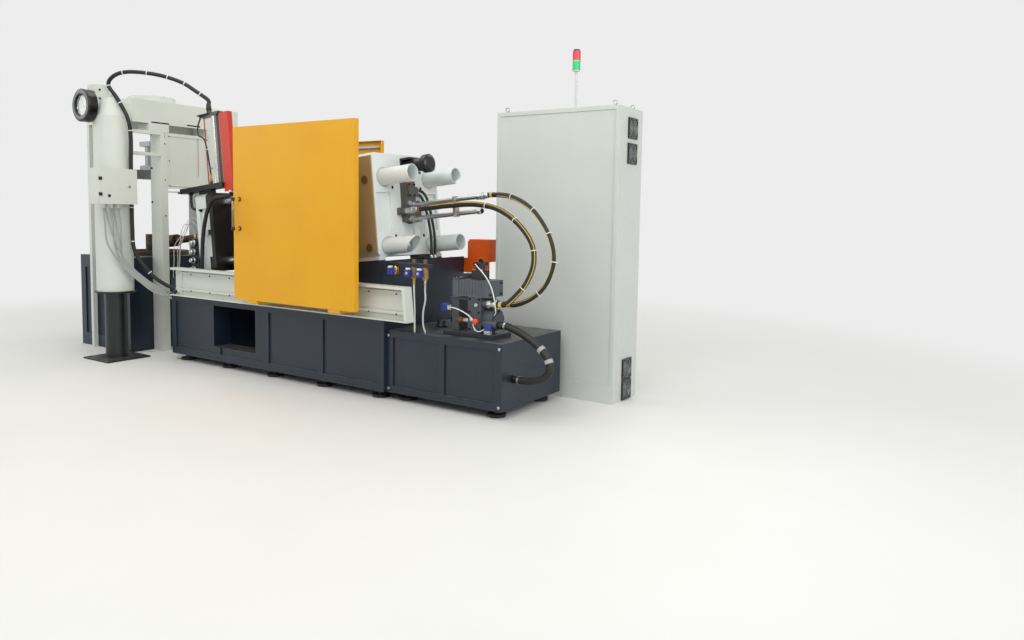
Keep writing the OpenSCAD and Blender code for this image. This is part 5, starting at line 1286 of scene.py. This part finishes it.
class MACHINE_OT_valve_stack_fittings(bpy.types.Operator):
    """Builds the valve stack's chromed knobs, white push fittings and thin tubes"""

    bl_idname = "machine.valve_stack_fittings"
    bl_label = "Valve stack fittings"

    def execute(self, context):
        piece = Piece("valve_stack_fittings")
        foot = bed_top(-450)
        for k in range(4):
            z = foot + 70 + 80 * k
            piece.lathe([(21.4, 4), (22.4, 8), (22.4, 44), (20, 51), (12, 52), (10, 49), (0, 49)],
                        (-390, -298, z), -Y, "chrome", 28)
            piece.lathe([(30, 0), (30, 12), (24, 16)], (-390, -304, z), -Y, "zinc_plate", 28)
        tops = []
        for k, (x, y) in enumerate(((-430, -270), (-405, -235), (-378, -268), (-430, -205))):
            piece.hexagon((x, y, foot + 350), Z, 20, 10, "brass")
            piece.lathe([(8.5, 0), (8.5, 20), (7, 22)], (x, y, foot + 360), Z, "white_plastic", 16)
            tops.append((x, y, foot + 364))
        piece.done()
        for k, (x, y, z) in enumerate(tops):
            end_y = y - 120 - 18 * k
            route = [(x, y, z), (x, y, z + 24), (x, y, z + 48), (x - 20, y - 25, z + 98 + 16 * k),
                     (x - 60, y - 60, z + 113 + 20 * k), (x - 60 - 8 * k, y - 95, z + 48),
                     (-478 - 14 * k, end_y, z - 80), (-496 - 12 * k, end_y, z - 220),
                     (-510 - 10 * k, end_y - 2, 800), (-512 - 8 * k, end_y - 2, 730),
                     (-500, end_y - 2, 690 - 12 * k), (BED_END_X, end_y - 2, 686 - 12 * k)]
            lay_hose(f"stack_tube_{k + 1}", route, 6, "grey_tube", 9, 10)
        return {"FINISHED"}


class MACHINE_OT_pump_fittings(bpy.types.Operator):
    """Builds the pump's screws, solenoids, knob and plugs, and the cooling-water tubes"""

    bl_idname = "machine.pump_fittings"
    bl_label = "Pump and water fittings"

    def execute(self, context):
        piece = Piece("pump_fittings")
        for x in (2620, 2650):
            for y in (-322, -158):
                piece.screw((x, y, 922), Z, 14)
        for k in range(9):
            # cooling ribs of the motor's housing
            piece.block((2676 + 24 * k, -334, 806), (2683 + 24 * k, -329, 900), "pump_lacquer", 1.5)
        for y in (-305, -175):
            for z in (815, 890):
                piece.screw((2910, y, z), X, 16)
        for z in (570, 690, 780):
            for x in (2756, 2834):
                piece.screw((x, -330, z), -Y, 15)
        for x, z in ((2775, 640), (2812, 740)):
            piece.hexagon((x, -330, z), -Y, 26, 12, "zinc_plate")
        for k in range(6):
            turn = 2 * math.pi * k / 6 + 0.3
            piece.screw((2930, -240 + 62 * math.cos(turn), 640 + 62 * math.sin(turn)), X, 13)
        # orange adjusting knob with its steel neck, and the bright port beside it
        piece.rod((2828, -330, 632), (2828, -352, 632), 22, "zinc_plate")
        piece.lathe([(15, 0), (20, 4), (20, 20), (16, 24), (0, 24)], (2828, -352, 632), -Y,
                    "orange_plastic", 24)
        piece.rod((2740, -290, 622), (2668, -290, 622), 38, "zinc_plate", 24)
        piece.lathe([(24, 0), (24, 14), (20, 18), (20, 46), (14, 50)], (2668, -290, 622), -X,
                    "brown_tube", 24)
        # solenoid on the leg, and the one on the pump's foot plate
        piece.block((2546, -318, 684), (2580, -290, 722), "zinc_plate", 3)
        piece.block((2494, -326, 676), (2546, -282, 730), "blue_plastic", 6)
        piece.rod((2494, -304, 703), (2478, -304, 703), 26, "black_plastic")
        piece.block((2886, -345, 545), (2936, -318, 573), "zinc_plate", 3)
        piece.block((2884, -340, 573), (2938, -300, 611), "blue_plastic", 6)
        # relief valve's caps, lock nut and handle
        for side in (-1, 1):
            piece.hexagon((2780, -240 + 55 * side, 1020), Y * side, 30, 14, "black_oxide")
        piece.lathe([(20, 0), (20, 5), (12, 8), (12, 20), (0, 20)], (2780, -240, 1036), Z, "black_oxide", 24)
        for x in (2746, 2814):
            for y in (-274, -206):
                piece.screw((x, y, 976), Z, 13, "zinc_plate")
        # third valve, beside the bar's foot
        piece.rod((2168, -430, 985), (2168, -430, 925), 40, "brass", 24)
        piece.rod((2168, -446, 952), (2168, -470, 952), 32, "zinc_plate", 24)
        piece.block((2144, -504, 926), (2192, -468, 976), "blue_plastic", 4)
        piece.block((2156, -503, 973), (2180, -476, 988), "white_plastic", 2)
        for x in VALVE_XS:
            # push fitting and coil nut of each water valve
            piece.hexagon((x, -430, 905), -Z, 26, 12, "brass")
            piece.rod((x, -430, 893), (x, -430, 860), 18, "yellow_tube" if x < 2400 else "zinc_plate")
            piece.lathe([(11, 0), (11, 6), (7, 8), (0, 8)], (x, -510, 945), -Y, "zinc_plate", 20)
            piece.block((x - 12, -509, 968), (x + 12, -482, 982), "white_plastic", 2)
        piece.done()
        for k, (x, finish) in enumerate(zip(VALVE_XS, ("white_plastic", "grey_tube"))):
            route = [(x, -430, 900), (x, -430, 860), (x, -430, 820), (x + 4, -431, 760),
                     (x + 10 - 22 * k, -433, 680), (x + 8 - 26 * k, -430, 610), (x + 4 - 20 * k, -424, 560),
                     (x - 6 * k, -420, 532), (x - 6 * k, -420, 515.3)]
            lay_hose(f"water_tube_{k + 1}", route, 13, finish, 10, 12)
        lay_hose("solenoid_cable", SOLENOID_CABLE, 8, "white_plastic", 9, 10)
        lay_hose("relief_cable", RELIEF_CABLE, 8, "white_plastic", 9, 10)
        return {"FINISHED"}


class MACHINE_OT_cabinet_fittings(bpy.types.Operator):
    """Builds the cabinet's lifting eyes, the tank's filler, breather and bolts, and tower screws"""

    bl_idname = "machine.cabinet_fittings"
    bl_label = "Cabinet and tank fittings"

    def execute(self, context):
        piece = Piece("cabinet_fittings")
        for x in (2530, 3450):
            for y in (450, 750):
                piece.rod((x, y, 2150), (x, y, 2157), 40, "zinc_plate", 28)
                piece.hoop((x, y, 2176), Y, 16, 9, "zinc_plate", 28, 10)
        # tank: filler cap, breather and bolts on the front
        piece.lathe([(44, 0), (44, 10), (36, 14), (36, 44), (32, 50), (0, 50)], (2300, -60, 515), Z,
                    "black_plastic", 36)
        piece.rod((2430, -60, 515), (2430, -60, 560), 46, "zinc_plate", 28)
        piece.lathe([(34, 0), (36, 4), (36, 40), (30, 46), (0, 46)], (2430, -60, 560), Z, "black_plastic", 36)
        for x in (2120, 3090):
            for z in (90, 480):
                piece.hexagon((x, -450, z), -Y, 20, 8, "zinc_plate")
        # screws of the tower light's foot
        for k in range(3):
            turn = 2 * math.pi * k / 3
            piece.screw((3048 + 32 * math.cos(turn), 600 + 32 * math.sin(turn), 2160), Z, 7)
        piece.done()
        return {"FINISHED"}


OPERATORS = (MACHINE_OT_stage, MACHINE_OT_closing_hoses, MACHINE_OT_suction_and_lube_hoses,
             MACHINE_OT_spray_lines, MACHINE_OT_frame_finishes, MACHINE_OT_gauge_face,
             MACHINE_OT_fan_guards, MACHINE_OT_junction_box_fittings, MACHINE_OT_door_fittings,
             MACHINE_OT_clamp_fasteners, MACHINE_OT_hood_fittings, MACHINE_OT_valve_stack_fittings,
             MACHINE_OT_pump_fittings, MACHINE_OT_cabinet_fittings)


class MACHINE_PT_panel(bpy.types.Panel):
    """Lists the machine's steps and sizes"""

    bl_idname = "MACHINE_PT_panel"
    bl_label = "Die casting machine"
    bl_space_type = "VIEW_3D"
    bl_region_type = "UI"
    bl_category = "Machine"

    def draw(self, context):
        scene = context.scene
        for group in (scene.machine_paint, scene.machine_hose, scene.machine_guard, scene.machine_stage):
            for name in group.bl_rna.properties.keys():
                if name not in ("rna_type", "name"):
                    self.layout.prop(group, name)
        for operator in OPERATORS:
            self.layout.operator(operator.bl_idname)


CLASSES = (PaintSettings, HoseSettings, GuardSettings, StageSettings, *OPERATORS, MACHINE_PT_panel)


def register():
    for made in CLASSES:
        bpy.utils.register_class(made)
    bpy.types.Scene.machine_paint = bpy.props.PointerProperty(type=PaintSettings)
    bpy.types.Scene.machine_hose = bpy.props.PointerProperty(type=HoseSettings)
    bpy.types.Scene.machine_guard = bpy.props.PointerProperty(type=GuardSettings)
    bpy.types.Scene.machine_stage = bpy.props.PointerProperty(type=StageSettings)


def unregister():
    del bpy.types.Scene.machine_paint
    del bpy.types.Scene.machine_hose
    del bpy.types.Scene.machine_guard
    del bpy.types.Scene.machine_stage
    for made in reversed(CLASSES):
        bpy.utils.unregister_class(made)


def main():
    register()
    for operator in OPERATORS:
        group, name = operator.bl_idname.split(".")
        getattr(getattr(bpy.ops, group), name)()


if __name__ == "__main__":
    main()
